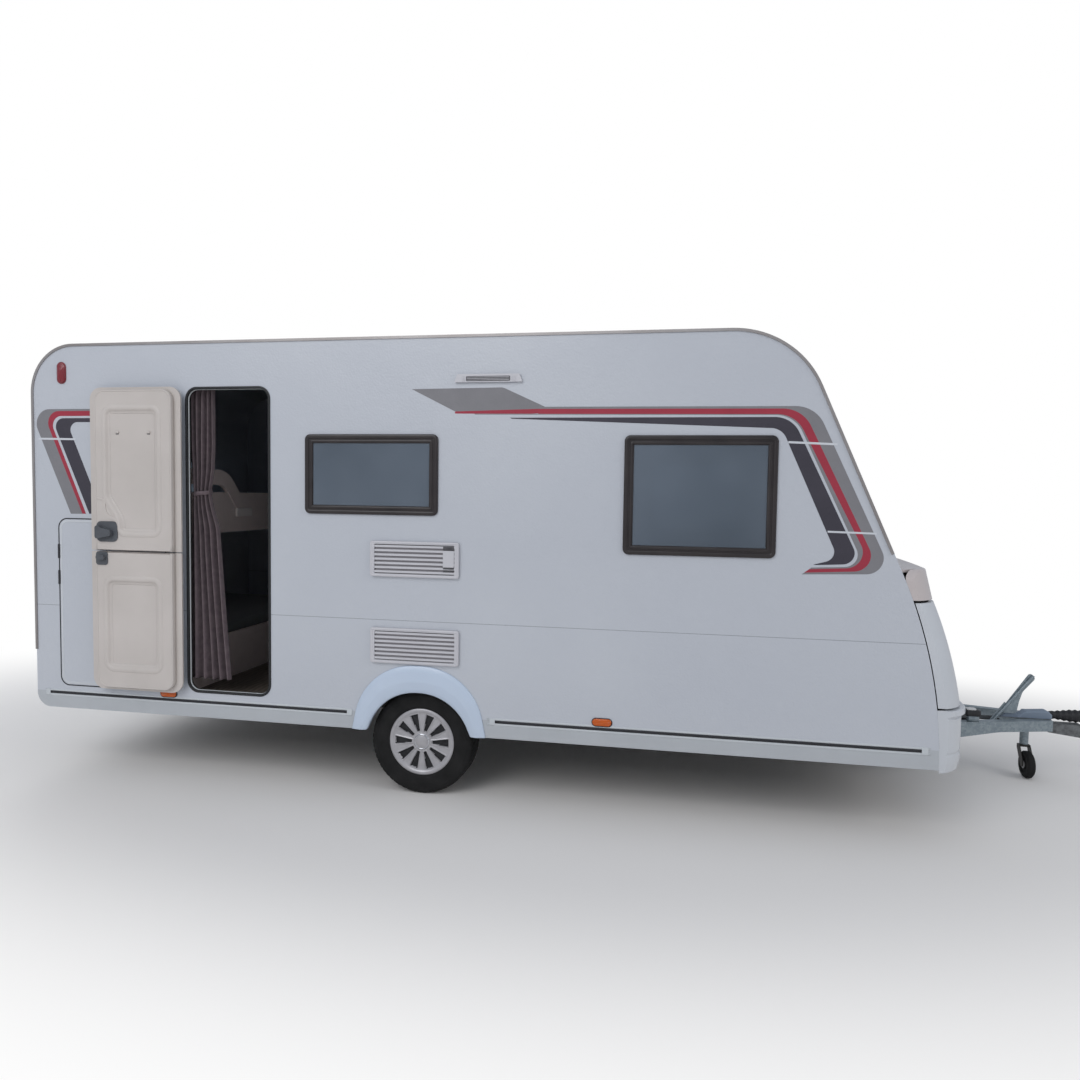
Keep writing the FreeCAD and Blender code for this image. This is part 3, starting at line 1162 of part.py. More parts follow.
def steadies():
    """Four corner steadies, wound up under the floor, each on the pin of its own bracket."""
    body = piece("steady_brackets")
    y = dim.steady_spread / 2
    pivot_z = underside - PIVOT_DROP
    upright = FreeCAD.Vector(0, 0, 1)
    for number, (x, way) in enumerate(STEADIES):
        for side in (-1, 1):
            name = f"bracket_{number}_{side + 1}"
            pad(body, name, "XY", str(underside - 16), "16", centred_loop(x, side * y, 110, 90))
            ear = corner_lines([(x - 40, underside - 16, 0), (x - 14, pivot_z - 14, 12),
                                (x + 14, pivot_z - 14, 12), (x + 40, underside - 16, 0)])
            for number_ear, start in enumerate((LEG_HALF + 1, -LEG_HALF - 7)):
                pad(body, f"{name}_ear_{number_ear}", "XZ", str(side * y + start), "6", ear)
            pin = [Part.Circle(FreeCAD.Vector(x, pivot_z, 0), upright, STEADY_PIN)]
            pad(body, name + "_pin", "XZ", str(side * y - LEG_HALF - 4), str(2 * LEG_HALF + 8), pin)
    for number, (x, way) in enumerate(STEADIES):
        for side_name, side in (("right", 1), ("left", -1)):
            name = f"steady_{('rear', 'front')[number]}_{side_name}"
            body = piece(name)
            end = x + way * dim.steady_reach
            bore = Part.Circle(FreeCAD.Vector(x, pivot_z, 0), upright, STEADY_PIN + dim.spindle_play)
            pad(body, name + "_leg", "XZ", str(side * y - LEG_HALF), str(2 * LEG_HALF), corner_lines([
                (x - way * 18, pivot_z + 18, 14), (end, pivot_z + 16, 0), (end, pivot_z - 12, 0),
                (x - way * 18, pivot_z - 22, 14)]), [bore])
            foot = centred_loop(end + way * 4, side * y * -1, 8, 90)
            pad(body, name + "_foot", "XY", str(pivot_z - 30), "52", foot)


STEADIES = ((-1650, -1), (1450, 1))
PIVOT_DROP = 52
LEG_HALF = 22
STEADY_PIN = 8
steadies()


def interior():
    """What shows through the doorway and the windows."""
    body = piece("bunks")
    back = rear_face + dim.wall
    y0 = -inner
    y1 = y0 + dim.bunk_length
    front = dim.bunk_front
    for name, top, depth in (("upper", dim.upper_bunk, 40), ("lower", dim.lower_bunk, 20)):
        pad(body, f"{name}_board", "XY", str(top - depth), str(depth), box_loop(back, front, y0, y1))
    pad(body, "bunk_front_board", "YZ", str(front), "18", box_loop(y0, y1, dim.floor_top, dim.lower_bunk + 20))
    pad(body, "bunk_rail", "YZ", str(front), "18", box_loop(y0, y1, dim.upper_bunk - 80, RAIL_TOP))
    guard = [(y0, GUARD_TOP, 0), (GUARD_END - 130, GUARD_TOP, 220), (GUARD_END + 60, RAIL_TOP - 60, 0)]
    pad(body, "bunk_guard", "YZ", str(front), "24", band(guard, 92))
    body = piece("mattresses")
    for name, top in (("upper", dim.upper_bunk), ("lower", dim.lower_bunk)):
        pad(body, f"{name}_mattress", "XY", str(top + dim.seat_gap), "Sizes.mattress",
            box_loop(back + 10, front - dim.seat_gap, y0 + 10, y1 - 10, 30))
    body = piece("curtain")
    head = door_head + 1
    hem = dim.door_sill + 65
    drape = [(-1405, head, 0), (-1408, head - 336, 200), (-1350, head - 501, 60), (-1404, head - 836, 300),
             (-1408, hem, 0), (-1148, hem, 0), (-1176, hem + 335, 400), (-1212, head - 816, 400),
             (-1246, head - 466, 200), (-1244, head, 0)]
    pad(body, "curtain_drop", "XZ", "Sizes.body_width / 2 - Sizes.wall - 70", "50", corner_lines(drape))
    body = piece("curtain_rail")
    pad(body, "rail_bar", "XY", str(head + dim.seat_gap), "16", box_loop(-1430, -1150, -inner, 75 - inner, 10))
    body = piece("kitchen_unit")
    notch = raised(arch_path(ARCH_LAP - 2), dim.floor_top)
    block = [(-720, UNIT_TOP, 0), (-720, dim.floor_top, 0)] + notch + [(420, dim.floor_top, 0), (420, UNIT_TOP, 0)]
    pad(body, "unit_block", "XZ", "Sizes.body_width / 2 - Sizes.wall - 500", "500", corner_lines(block))
    body = piece("seats")
    pad(body, "seat_block", "XY", "Sizes.floor_top", "420",
        corner_lines([(1100, -inner, 0), (SEAT_BACK, -inner, 0), (SEAT_BACK, inner, 0), (1100, inner, 0),
                      (1100, inner - SEAT_DEPTH, 0), (1600, inner - SEAT_DEPTH, 0),
                      (1600, SEAT_DEPTH - inner, 0), (1100, SEAT_DEPTH - inner, 0)]))


SEAT_BACK = BULKHEAD_X - 20
SEAT_DEPTH = 600
UNIT_TOP = 1380
RAIL_TOP = 1647
GUARD_TOP = 1784
GUARD_END = -560
interior()

doc.recompute()
shift = FreeCAD.Vector(-dim.coupling_reach, 0, -dim.ball_height)
for body in pieces:
    body.Placement.Base = body.Placement.Base + shift
doc.recompute()

faults = []
for thing in doc.Objects:
    if "Invalid" in thing.State or "Error" in thing.State:
        faults.append(f"{thing.Label}: {thing.State}")
for body in pieces:
    if body.Shape.isNull() or not body.Shape.isValid() or not body.Shape.Solids:
        faults.append(f"{body.Label}: no valid solid")
if faults:
    raise RuntimeError("; ".join(faults))

for body in pieces:
    body.Shape.exportStep(f"parts/{body.Label}.step")
    print(body.Label, len(body.Shape.Solids), round(body.Shape.Volume / 1e6, 3))
print("sub-parts:", len(pieces))
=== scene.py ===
import math
import bmesh
import bpy
import numpy as np
from mathutils import Matrix


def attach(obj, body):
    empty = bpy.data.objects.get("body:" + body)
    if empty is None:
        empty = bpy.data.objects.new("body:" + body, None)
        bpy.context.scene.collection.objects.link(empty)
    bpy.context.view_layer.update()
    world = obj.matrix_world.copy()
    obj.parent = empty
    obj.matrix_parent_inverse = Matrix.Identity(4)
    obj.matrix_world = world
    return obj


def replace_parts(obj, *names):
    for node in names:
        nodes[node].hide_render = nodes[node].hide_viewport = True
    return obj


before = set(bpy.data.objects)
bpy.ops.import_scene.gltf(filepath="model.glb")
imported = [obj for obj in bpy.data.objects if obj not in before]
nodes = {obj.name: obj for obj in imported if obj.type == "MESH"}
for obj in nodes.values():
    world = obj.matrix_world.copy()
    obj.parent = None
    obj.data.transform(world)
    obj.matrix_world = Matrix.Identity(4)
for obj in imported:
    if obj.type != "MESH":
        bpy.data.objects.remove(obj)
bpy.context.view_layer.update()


# The place of the caravan. Everything is in metres; the axle stands behind the coupling ball and
# the ground lies below it, so pieces are drawn from the point on the ground under the axle.
AXLE_X = -3.925
GROUND_Z = -0.385
WALL_Y = 1.15
SIDES = (("right", -1), ("left", 1))


def placed(points):
    """Points drawn from the ground below the axle, moved into the frame of the part."""
    return np.asarray(points, float) + (AXLE_X, 0.0, GROUND_Z)


# The floor of the studio, the soft lamps and the camera. The camera stands at eye height before
# the right wall, nearer to its front end, and is turned a little to the rear.
def new_material(name, colour, roughness=0.5, metallic=0.0, **sockets):
    """A material with one Principled shader; constant values go straight on its sockets."""
    material = bpy.data.materials.new(name)
    material.use_nodes = True
    shader = material.node_tree.nodes["Principled BSDF"]
    shader.inputs["Base Color"].default_value = (*colour, 1)
    shader.inputs["Roughness"].default_value = roughness
    shader.inputs["Metallic"].default_value = metallic
    for socket, value in sockets.items():
        shader.inputs[socket.replace("_", " ")].default_value = value
    return material


def tree_of(material):
    """The node tree of a material, its Principled shader and its Object coordinates."""
    tree = material.node_tree
    shader = tree.nodes["Principled BSDF"]
    place = tree.nodes.get("place") or tree.nodes.new("ShaderNodeTexCoord")
    place.name = "place"
    return tree, shader, place.outputs["Object"]


def add(tree, kind, inputs=None, **settings):
    """A new shader node. Its settings come first; then each input, by name or by place, is linked
    where a socket is given and else takes the value."""
    made = tree.nodes.new("ShaderNode" + kind)
    for key, value in settings.items():
        setattr(made, key, value)
    for key, value in (inputs or {}).items():
        if isinstance(value, bpy.types.NodeSocket):
            tree.links.new(value, made.inputs[key])
        else:
            made.inputs[key].default_value = value
    return made


def seen_directly(tree):
    """1 for what the camera sees, also through glass, else 0."""
    seen = add(tree, "LightPath")
    either = add(tree, "Math", {0: seen.outputs["Is Camera Ray"], 1: seen.outputs["Is Transmission Ray"]},
                 operation="MAXIMUM")
    return either.outputs["Value"]


def studio():
    """A disc of pale floor whose far part fades into the white surround."""
    grid = bpy.data.meshes.new("studio_floor")
    turn = np.linspace(0, 2 * math.pi, 65)[:-1]
    ring = np.stack([60 * np.cos(turn), 60 * np.sin(turn), np.full(64, GROUND_Z)], 1)
    grid.from_pydata(ring.tolist(), [], [list(range(64))])
    floor = bpy.data.objects.new("studio_floor", grid)
    bpy.context.scene.collection.objects.link(floor)
    material = new_material("studio_floor_paint", (0.90, 0.875, 0.845), 0.9)
    tree, shader, place = tree_of(material)
    shift = add(tree, "Mapping", {"Vector": place, "Location": (1.9, 0.0, 0.0), "Scale": (0.55, 1.0, 1.0)})
    length = add(tree, "VectorMath", {0: shift.outputs["Vector"]}, operation="LENGTH")
    fade = add(tree, "MapRange", {"Value": length.outputs["Value"], "From Min": 1.9, "From Max": 3.7},
               interpolation_type="SMOOTHSTEP")
    both = add(tree, "Math", {0: fade.outputs["Result"], 1: seen_directly(tree)}, operation="MULTIPLY")
    white = add(tree, "Emission", {"Color": (1, 1, 1, 1)})
    mix = add(tree, "MixShader", {0: both.outputs["Value"], 1: shader.outputs["BSDF"],
                                  2: white.outputs["Emission"]})
    tree.links.new(mix.outputs["Shader"], tree.nodes["Material Output"].inputs["Surface"])
    grid.materials.append(material)


def surround():
    """White where the camera sees it, also through glass; a pale, slightly blue sky for the rest."""
    world = bpy.data.worlds.new("surround")
    world.use_nodes = True
    bpy.context.scene.world = world
    tree = world.node_tree
    sky = tree.nodes["Background"]
    sky.inputs["Color"].default_value = (0.86, 0.91, 1.0, 1)
    sky.inputs["Strength"].default_value = 0.5
    white = add(tree, "Background", {"Color": (1, 1, 1, 1)})
    mix = add(tree, "MixShader", {0: seen_directly(tree), 1: sky.outputs["Background"],
                                  2: white.outputs["Background"]})
    tree.links.new(mix.outputs["Shader"], tree.nodes["World Output"].inputs["Surface"])


def lamp(name, place, aim, size, power, colour):
    """A square soft box that stands at place and faces aim."""
    data = bpy.data.lights.new(name, "AREA")
    data.size = size
    data.energy = power
    data.color = colour
    box = bpy.data.objects.new(name, data)
    bpy.context.scene.collection.objects.link(box)
    box.location = place
    way = np.subtract(aim, place)
    box.rotation_euler = (math.atan2(math.hypot(way[0], way[1]), -way[2]), 0, math.atan2(-way[0], way[1]))


def camera():
    """The camera's three directions from its yaw, pitch and roll, as columns of its matrix."""
    yaw, pitch, roll = math.radians(10.643), math.radians(3.066), math.radians(-0.853)
    ahead = np.array([-math.sin(yaw) * math.cos(pitch), math.cos(yaw) * math.cos(pitch), -math.sin(pitch)])
    level = np.array([math.cos(yaw), math.sin(yaw), 0.0])
    down = np.cross(ahead, level)
    right = math.cos(roll) * level + math.sin(roll) * down
    down = -math.sin(roll) * level + math.cos(roll) * down
    data = bpy.data.cameras.new("photo_camera")
    data.lens = 26.52
    data.sensor_width = 36
    data.clip_end = 200
    eye = bpy.data.objects.new("photo_camera", data)
    bpy.context.scene.collection.objects.link(eye)
    matrix = np.eye(4)
    matrix[:3, 0] = right
    matrix[:3, 1] = -down
    matrix[:3, 2] = -ahead
    matrix[:3, 3] = (1.4226 + AXLE_X, -5.2149, 1.6447 + GROUND_Z)
    eye.matrix_world = Matrix(matrix.tolist())
    bpy.context.scene.camera = eye


studio()
surround()
bpy.context.scene.view_settings.view_transform = "Standard"
lamp("key_box", (-6.8, -9.0, 6.5), (-5.0, -1.0, 0.6), 6.0, 320, (0.98, 0.985, 1.0))
lamp("front_box", (5.5, -4.0, 4.5), (-1.5, 0.0, 0.4), 4.0, 120, (1.0, 0.99, 0.98))
lamp("rear_box", (-10.5, 6.5, 5.5), (-5.0, 0.5, 0.8), 5.0, 190, (0.97, 0.98, 1.0))
camera()


# The two side walls: sheets over a foam core, painted white and stippled like hammered metal.
# A joint between two sheets runs along each wall at waist height and shows as a thin dark line.
def finish_node(material, *names):
    """Gives CAD nodes a material in every slot, their shapes untouched."""
    for name in names:
        nodes[name].data.materials.clear()
        nodes[name].data.materials.append(material)


def noise(tree, place, scale, detail=3.0, roughness=0.5):
    """A noise of so many cells to the metre."""
    cells = add(tree, "TexNoise", {"Vector": place, "Scale": scale, "Detail": detail, "Roughness": roughness})
    return cells.outputs["Fac"]


def tint(tree, shader, value, low, high, start=0.3, end=0.7):
    """The base colour goes from low to high as value goes from start to end."""
    ramp = add(tree, "ValToRGB", {"Fac": value})
    ramp.color_ramp.elements[0].position = start
    ramp.color_ramp.elements[0].color = (*low, 1)
    ramp.color_ramp.elements[1].position = end
    ramp.color_ramp.elements[1].color = (*high, 1)
    tree.links.new(ramp.outputs["Color"], shader.inputs["Base Color"])


def relief(tree, shader, value, height, strength=1.0):
    """A bump of the given height in metres, on top of any bump already there."""
    bump = add(tree, "Bump", {"Height": value, "Distance": height, "Strength": strength})
    if shader.inputs["Normal"].is_linked:
        tree.links.new(shader.inputs["Normal"].links[0].from_socket, bump.inputs["Normal"])
    tree.links.new(bump.outputs["Normal"], shader.inputs["Normal"])


def line_mask(tree, place, axis, centre, half_width):
    """1 within half_width of a level on one axis, else 0."""
    split = add(tree, "SeparateXYZ", {"Vector": place})
    near = add(tree, "Math", {0: split.outputs["XYZ".index(axis)], 1: centre, 2: half_width},
               operation="COMPARE")
    return near.outputs["Value"]


def darken(tree, shader, mask, colour):
    """Where mask is 1 the base colour becomes colour."""
    source = shader.inputs["Base Color"]
    before = source.links[0].from_socket if source.is_linked else source.default_value
    mix = add(tree, "Mix", {0: mask, 6: before, 7: (*colour, 1)}, data_type="RGBA")
    tree.links.new(mix.outputs[2], source)


def surface(name, colour, roughness=0.5, metallic=0.0, grain=None, bumps=(), **sockets):
    """A material whose colour and relief come from noises in metres.

    grain is (cells to the metre, detail, low colour, high colour); each bump is (cells to the
    metre, detail, height, strength).
    """
    material = new_material(name, colour, roughness, metallic, **sockets)
    tree, shader, place = tree_of(material)
    if grain:
        cells, detail, low, high = grain
        tint(tree, shader, noise(tree, place, cells, detail), low, high)
    for cells, detail, height, strength in bumps:
        relief(tree, shader, noise(tree, place, cells, detail), height, strength)
    return material


SHEET_WHITE = (0.56, 0.585, 0.63)
SHEET_SHADE = (0.53, 0.555, 0.605)
SHEET_JOINT_Z = 0.968
DIMPLES_PER_M = 95


def hammered_sheet(name):
    """White paint with shallow dimples a few millimetres across, and slow waves in the sheet."""
    material = new_material(name, SHEET_WHITE, 0.34, Coat_Weight=0.25, Coat_Roughness=0.12)
    tree, shader, place = tree_of(material)
    tint(tree, shader, noise(tree, place, 1.3, 2.0), SHEET_SHADE, SHEET_WHITE)
    dimples = add(tree, "TexVoronoi", {"Vector": place, "Scale": DIMPLES_PER_M, "Smoothness": 0.7},
                  feature="SMOOTH_F1")
    relief(tree, shader, dimples.outputs["Distance"], 0.0011, 0.55)
    relief(tree, shader, noise(tree, place, 5.0, 2.0), 0.004, 0.5)
    relief(tree, shader, noise(tree, place, 26.0, 2.0), 0.0012, 0.6)
    return material


wall_sheet = hammered_sheet("wall_sheet")
tree, shader, place = tree_of(wall_sheet)
joint = line_mask(tree, place, "Z", SHEET_JOINT_Z + GROUND_Z, 0.0016)
darken(tree, shader, joint, (0.30, 0.32, 0.35))
finish_node(wall_sheet, "side_wall_right", "side_wall_left")
plain_sheet = hammered_sheet("plain_sheet")
finish_node(plain_sheet, "roof_panel", "service_hatch")


# The moulded white parts: front panel, gas locker nose, bumper, rear panel and wheel arches.
# They are smooth plastic with a faint orange peel and a film of road dust near the ground.
DUST_FROM_Z = 0.42
DUST_FULL_Z = -0.08


def moulding(name, colour, shade, roughness=0.3, dust=0.0):
    """Smooth plastic; dust is how much the lowest part is greyed."""
    material = new_material(name, colour, roughness, Coat_Weight=0.3, Coat_Roughness=0.15)
    tree, shader, place = tree_of(material)
    tint(tree, shader, noise(tree, place, 2.4, 3.0), shade, colour)
    relief(tree, shader, noise(tree, place, 260.0, 2.0), 0.00012, 0.5)
    if dust:
        split = add(tree, "SeparateXYZ", {"Vector": place})
        fall = add(tree, "MapRange", {"Value": split.outputs["Z"], "From Min": DUST_FROM_Z,
                                      "From Max": DUST_FULL_Z, "To Max": dust})
        patchy = add(tree, "Math", {0: fall.outputs["Result"], 1: noise(tree, place, 7.0, 5.0, 0.7)},
                     operation="MULTIPLY")
        darken(tree, shader, patchy.outputs["Value"], (0.36, 0.36, 0.36))
    return material


white_moulding = moulding("white_moulding", (0.62, 0.645, 0.68), (0.59, 0.615, 0.65), dust=0.35)
finish_node(white_moulding, "front_panel", "locker_lid", "front_bumper", "rear_panel", "wheel_arches",
            "rear_board", "grab_handles")
cap_moulding = moulding("cap_moulding", (0.60, 0.545, 0.53), (0.56, 0.50, 0.49))
finish_node(cap_moulding, "locker_cap")


# The skirts below the walls: pale grey extruded plastic with a groove along its top and a
# black rubber insert pressed into the groove.
skirt_plastic = moulding("skirt_plastic", (0.51, 0.54, 0.57), (0.48, 0.51, 0.54), 0.4, dust=0.45)
finish_node(skirt_plastic, "skirts")
insert_rubber = surface("insert_rubber", (0.018, 0.018, 0.022), 0.6, bumps=((500.0, 3.0, 0.0002, 1.0),))


def mesh_piece(name, points, faces, body, material, smooth=True):
    """A mesh object made of points and faces, with its normals outwards, riding on a body."""
    data = bpy.data.meshes.new(name)
    data.from_pydata(np.asarray(points, float).reshape(-1, 3).tolist(), [], faces)
    work = bmesh.new()
    work.from_mesh(data)
    bmesh.ops.remove_doubles(work, verts=work.verts, dist=1e-6)
    bmesh.ops.recalc_face_normals(work, faces=work.faces)
    work.to_mesh(data)
    work.free()
    data.polygons.foreach_set("use_smooth", [smooth] * len(data.polygons))
    data.materials.append(material)
    piece = bpy.data.objects.new(name, data)
    bpy.context.scene.collection.objects.link(piece)
    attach(piece, body)
    return piece


def grid_faces(rows, columns, wrap_rows=False, wrap_columns=False):
    """Quads of a grid of points stored row after row."""
    row = np.arange(rows if wrap_rows else rows - 1)
    column = np.arange(columns if wrap_columns else columns - 1)
    r, c = np.meshgrid(row, column, indexing="ij")
    r2, c2 = (r + 1) % rows, (c + 1) % columns
    quads = np.stack([r * columns + c, r * columns + c2, r2 * columns + c2, r2 * columns + c], -1)
    return quads.reshape(-1, 4).tolist()


def carried(name, path, section, body, material, normal=(0, 1, 0), closed=False):
    """A closed section carried along a path that lies in a plane.

    Each path point gets a side direction (path direction x normal); the section's first value
    goes along that side and its second along the normal. Two end caps close an open run.
    """
    path = np.asarray(path, float)
    section = np.asarray(section, float)
    normal = np.asarray(normal, float)
    ahead = np.roll(path, -1, 0) - np.roll(path, 1, 0)
    if not closed:
        ahead[0] = path[1] - path[0]
        ahead[-1] = path[-1] - path[-2]
    ahead /= np.linalg.norm(ahead, axis=1)[:, None]
    side = np.cross(ahead, normal)
    points = path[:, None] + side[:, None] * section[None, :, :1] + normal * section[None, :, 1:]
    count = len(section)
    faces = grid_faces(len(path), count, closed, True)
    if not closed:
        faces += [list(range(count)), list(range((len(path) - 1) * count, len(path) * count))]
    return mesh_piece(name, points.reshape(-1, 3), faces, body, material)


def insert_run(name, x0, x1, side):
    """A rounded black strip 14 mm high along the top of a skirt."""
    x = np.linspace(x0, x1, 40)
    path = placed(np.stack([x, np.full(40, side * WALL_Y), np.full(40, 0.4475)], 1))
    section = [(-0.007, -0.002), (-0.007, 0.002), (-0.005, 0.004), (0.005, 0.004), (0.007, 0.002),
               (0.007, -0.002)]
    carried(name, path, section, "caravan", insert_rubber, normal=(0, side, 0))


def skirt_strip(name, x0, x1, low, high, side):
    """A pale rounded strip of the extrusion, from one height to another, standing 2.5 mm out."""
    x = np.linspace(x0, x1, 40)
    middle, reach = (low + high) / 2, (high - low) / 2
    path = placed(np.stack([x, np.full(40, side * WALL_Y), np.full(40, middle)], 1))
    turn = np.linspace(0, math.pi, 9)
    section = np.stack([reach * np.cos(turn), 0.0025 * np.sin(turn) ** 0.6], 1)
    section = np.concatenate([section, [(-reach, -0.001), (reach, -0.001)]])
    carried(name, path, section, "caravan", strip_white, normal=(0, side, 0))


strip_white = moulding("strip_white", (0.62, 0.655, 0.68), (0.58, 0.615, 0.64), 0.35, dust=0.25)
for word, side in SIDES:
    for part, x0, x1 in (("rear", -2.32, -0.385), ("front", 0.385, 2.59)):
        skirt_strip(f"skirt_strip_upper_{word}_{part}", x0, x1, 0.4555, 0.4665, side)
        skirt_strip(f"skirt_strip_lower_{word}_{part}", x0, x1, 0.4275, 0.4395, side)
for word, side in SIDES:
    for part, x0, x1 in (("rear", -2.29, -0.41), ("front", 0.43, 2.55)):
        insert_run(f"skirt_insert_{word}_{part}", x0, x1, side)


# The painted bands on the walls: thin film in grey, red and charcoal that runs above the front
# window, bends down beside it and curls in; a shorter one of the same kind is at the rear.
def bent_run(corners, radii, steps=14):
    """A line through corners, each bend an arc of its own radius, with equal counts of points."""
    corners = np.asarray(corners, float)
    out = [np.linspace(corners[0], corners[0], 1)]
    last = corners[0]
    for index, radius in enumerate(radii, 1):
        corner = corners[index]
        back = (corners[index - 1] - corner) / np.linalg.norm(corners[index - 1] - corner)
        ahead = (corners[index + 1] - corner) / np.linalg.norm(corners[index + 1] - corner)
        opening = math.acos(np.clip(back @ ahead, -1, 1))
        reach = radius / math.tan(opening / 2)
        centre = corner + (back + ahead) / np.linalg.norm(back + ahead) * radius / math.sin(opening / 2)
        first, second = corner + back * reach, corner + ahead * reach
        out.append(last + (first - last) * np.linspace(0, 1, steps)[1:, None])
        a = math.atan2(*(first - centre)[::-1])
        b = math.atan2(*(second - centre)[::-1])
        b += 2 * math.pi * round((a - b) / (2 * math.pi))
        turn = np.linspace(a, b, steps)[1:]
        out.append(centre + radius * np.stack([np.cos(turn), np.sin(turn)], 1))
        last = second
    out.append(last + (corners[-1] - last) * np.linspace(0, 1, steps)[1:, None])
    return np.concatenate(out)


def film(name, edge_a, edge_b, side, material, lift=0.0006):
    """A thin closed strip of film between two edges drawn on the wall in x and z."""
    a, b = np.asarray(edge_a), np.asarray(edge_b)
    y = side * WALL_Y
    flat = [np.stack([e[:, 0], np.full(len(e), y + side * out), e[:, 1]], 1)
            for e, out in ((a, lift), (b, lift), (b, -0.0004), (a, -0.0004))]
    points = placed(np.stack(flat, 1).reshape(-1, 3))
    count = len(a)
    ends = [[0, 1, 2, 3], [4 * count - 4, 4 * count - 3, 4 * count - 2, 4 * count - 1]]
    faces = grid_faces(count, 4, False, True) + ends
    return mesh_piece(name, points, faces, "caravan", material, smooth=False)


def film_paint(name, colour, shade):
    """Printed film: slightly glossier than the sheet, following its dimples."""
    material = new_material(name, colour, 0.42, Specular_IOR_Level=0.3)
    tree, shader, place = tree_of(material)
    tint(tree, shader, noise(tree, place, 9.0, 4.0), shade, colour)
    dimples = add(tree, "TexVoronoi", {"Vector": place, "Scale": DIMPLES_PER_M}, feature="SMOOTH_F1")
    relief(tree, shader, dimples.outputs["Distance"], 0.0011, 0.5)
    return material


film_grey = film_paint("film_grey", (0.24, 0.236, 0.25), (0.22, 0.217, 0.23))
film_red = film_paint("film_red", (0.385, 0.042, 0.068), (0.35, 0.038, 0.062))
film_charcoal = film_paint("film_charcoal", (0.060, 0.055, 0.071), (0.052, 0.048, 0.062))
film_white = film_paint("film_white", (0.66, 0.68, 0.72), (0.62, 0.64, 0.68))
front_bends = (0.150, 0.078)
grey_outer = bent_run([(0.675, 2.1115), (2.0099, 2.1069), (2.388, 1.3002), (1.969, 1.2865)], front_bends)
red_outer = bent_run([(0.640, 2.1010), (1.9491, 2.0952), (2.3303, 1.3139), (1.9800, 1.2955)], front_bends)
red_inner = bent_run([(0.190, 2.0780), (1.9158, 2.0682), (2.2952, 1.3291), (2.0035, 1.3130)],
                     (0.140, 0.078))
grey_inner = bent_run([(0.235, 2.0740), (1.9127, 2.0645), (2.2590, 1.3330), (2.0130, 1.3210)],
                      (0.140, 0.060))
dark_outer = bent_run([(0.490, 2.0560), (1.9012, 2.0547), (2.2421, 1.3452), (2.0330, 1.3340)],
                      (0.130, 0.055))
dark_inner = bent_run([(0.500, 2.0510), (1.8554, 1.9990), (2.1366, 1.3674), (2.0214, 1.3360)],
                      (0.080, 0.050))


def front_bands(word, side):
    """The front bands on one wall: each strip lies between two of the six edges."""
    film(f"band_grey_{word}", grey_outer, red_outer, side, film_grey)
    red_start = np.linspace((0.193, 2.0900), red_outer[0], 14)[:-1]
    low_start = np.linspace((0.193, 2.0790), red_inner[0] + (0.45, -0.002), 14)[:-1]
    film(f"band_red_{word}", np.concatenate([red_start, red_outer]),
         np.concatenate([low_start, np.maximum(red_inner, (0.64, 0.0))]), side, film_red)
    film(f"band_inner_grey_{word}", np.maximum(red_inner, (0.3, 0)), np.maximum(grey_inner, (0.3, 0)),
         side, film_grey)
    film(f"band_charcoal_{word}", dark_outer, dark_inner, side, film_charcoal)
    film(f"band_slab_{word}", bent_run([(-0.046, 2.209), (0.452, 2.213), (0.675, 2.1115)], (0.060,)),
         bent_run([(-0.046, 2.209), (0.193, 2.0900), (0.640, 2.1010)], (0.050,)), side, film_grey)
    for number, (start, end, width) in enumerate((((1.8865, 1.9322), (2.1150, 1.9222), 0.0052),
                                                  ((2.0830, 1.4987), (2.3100, 1.4940), 0.0046))):
        line = np.linspace(start, end, 4)
        film(f"band_cut_{number}_{word}", line + (0, width), line - (0, width), side, film_white,
             lift=0.0009)


REAR_SLANT = ((-2.3982, -2.134), (-2.3120, -2.0566), (-2.2724, -2.0335), (-2.2511, -2.0115),
              (-2.1512, -1.9242))
REAR_UPRIGHT = ((-2.350, -2.330), (-2.292, -2.278), (-2.262, -2.250), (-2.247, -2.236), (-2.196, -2.190))


def rear_bands(word, side, runs):
    """The rear bands on one wall, round a corner and down: runs gives each edge's corner and foot."""
    levels = ((-1.62, 2.1163, 1.5084, 0.085), (-1.66, 2.1050, 1.5098, 0.070), (-1.70, 2.0762, 1.5103, 0.055),
              (-1.75, 2.0637, 1.5106, 0.050), (-1.78, 2.0406, 1.5122, 0.045))
    edges = [bent_run([(start, head), (corner, head), (foot, low)], (bend,))
             for (start, head, low, bend), (corner, foot) in zip(levels, runs)]
    film(f"rear_grey_{word}", edges[0], edges[1], side, film_grey)
    film(f"rear_red_{word}", edges[1], edges[2], side, film_red)
    film(f"rear_charcoal_{word}", edges[3], edges[4], side, film_charcoal)
    (outer, outer_foot), (inner, inner_foot) = runs[0], runs[-1]
    start = outer + 0.282 * (outer_foot - outer) - 0.020
    end = inner + 0.187 * (inner_foot - inner) + 0.014
    line = np.linspace((start, 1.9450), (end, 1.9420), 4)
    film(f"rear_cut_{word}", line + (0, 0.0055), line - (0, 0.0055), side, film_white, lift=0.0009)


for word, side in SIDES:
    front_bands(word, side)
rear_bands("right", -1, REAR_SLANT)
rear_bands("left", 1, REAR_UPRIGHT)


# The wheel arches: a moulded trim with a crest along its middle, screwed over the cut edge of
# each wall, and a black plastic box that covers the wheel from inside.
ARCH_FOOT_Z = 0.358
ARCH_BOX_Z = 0.400


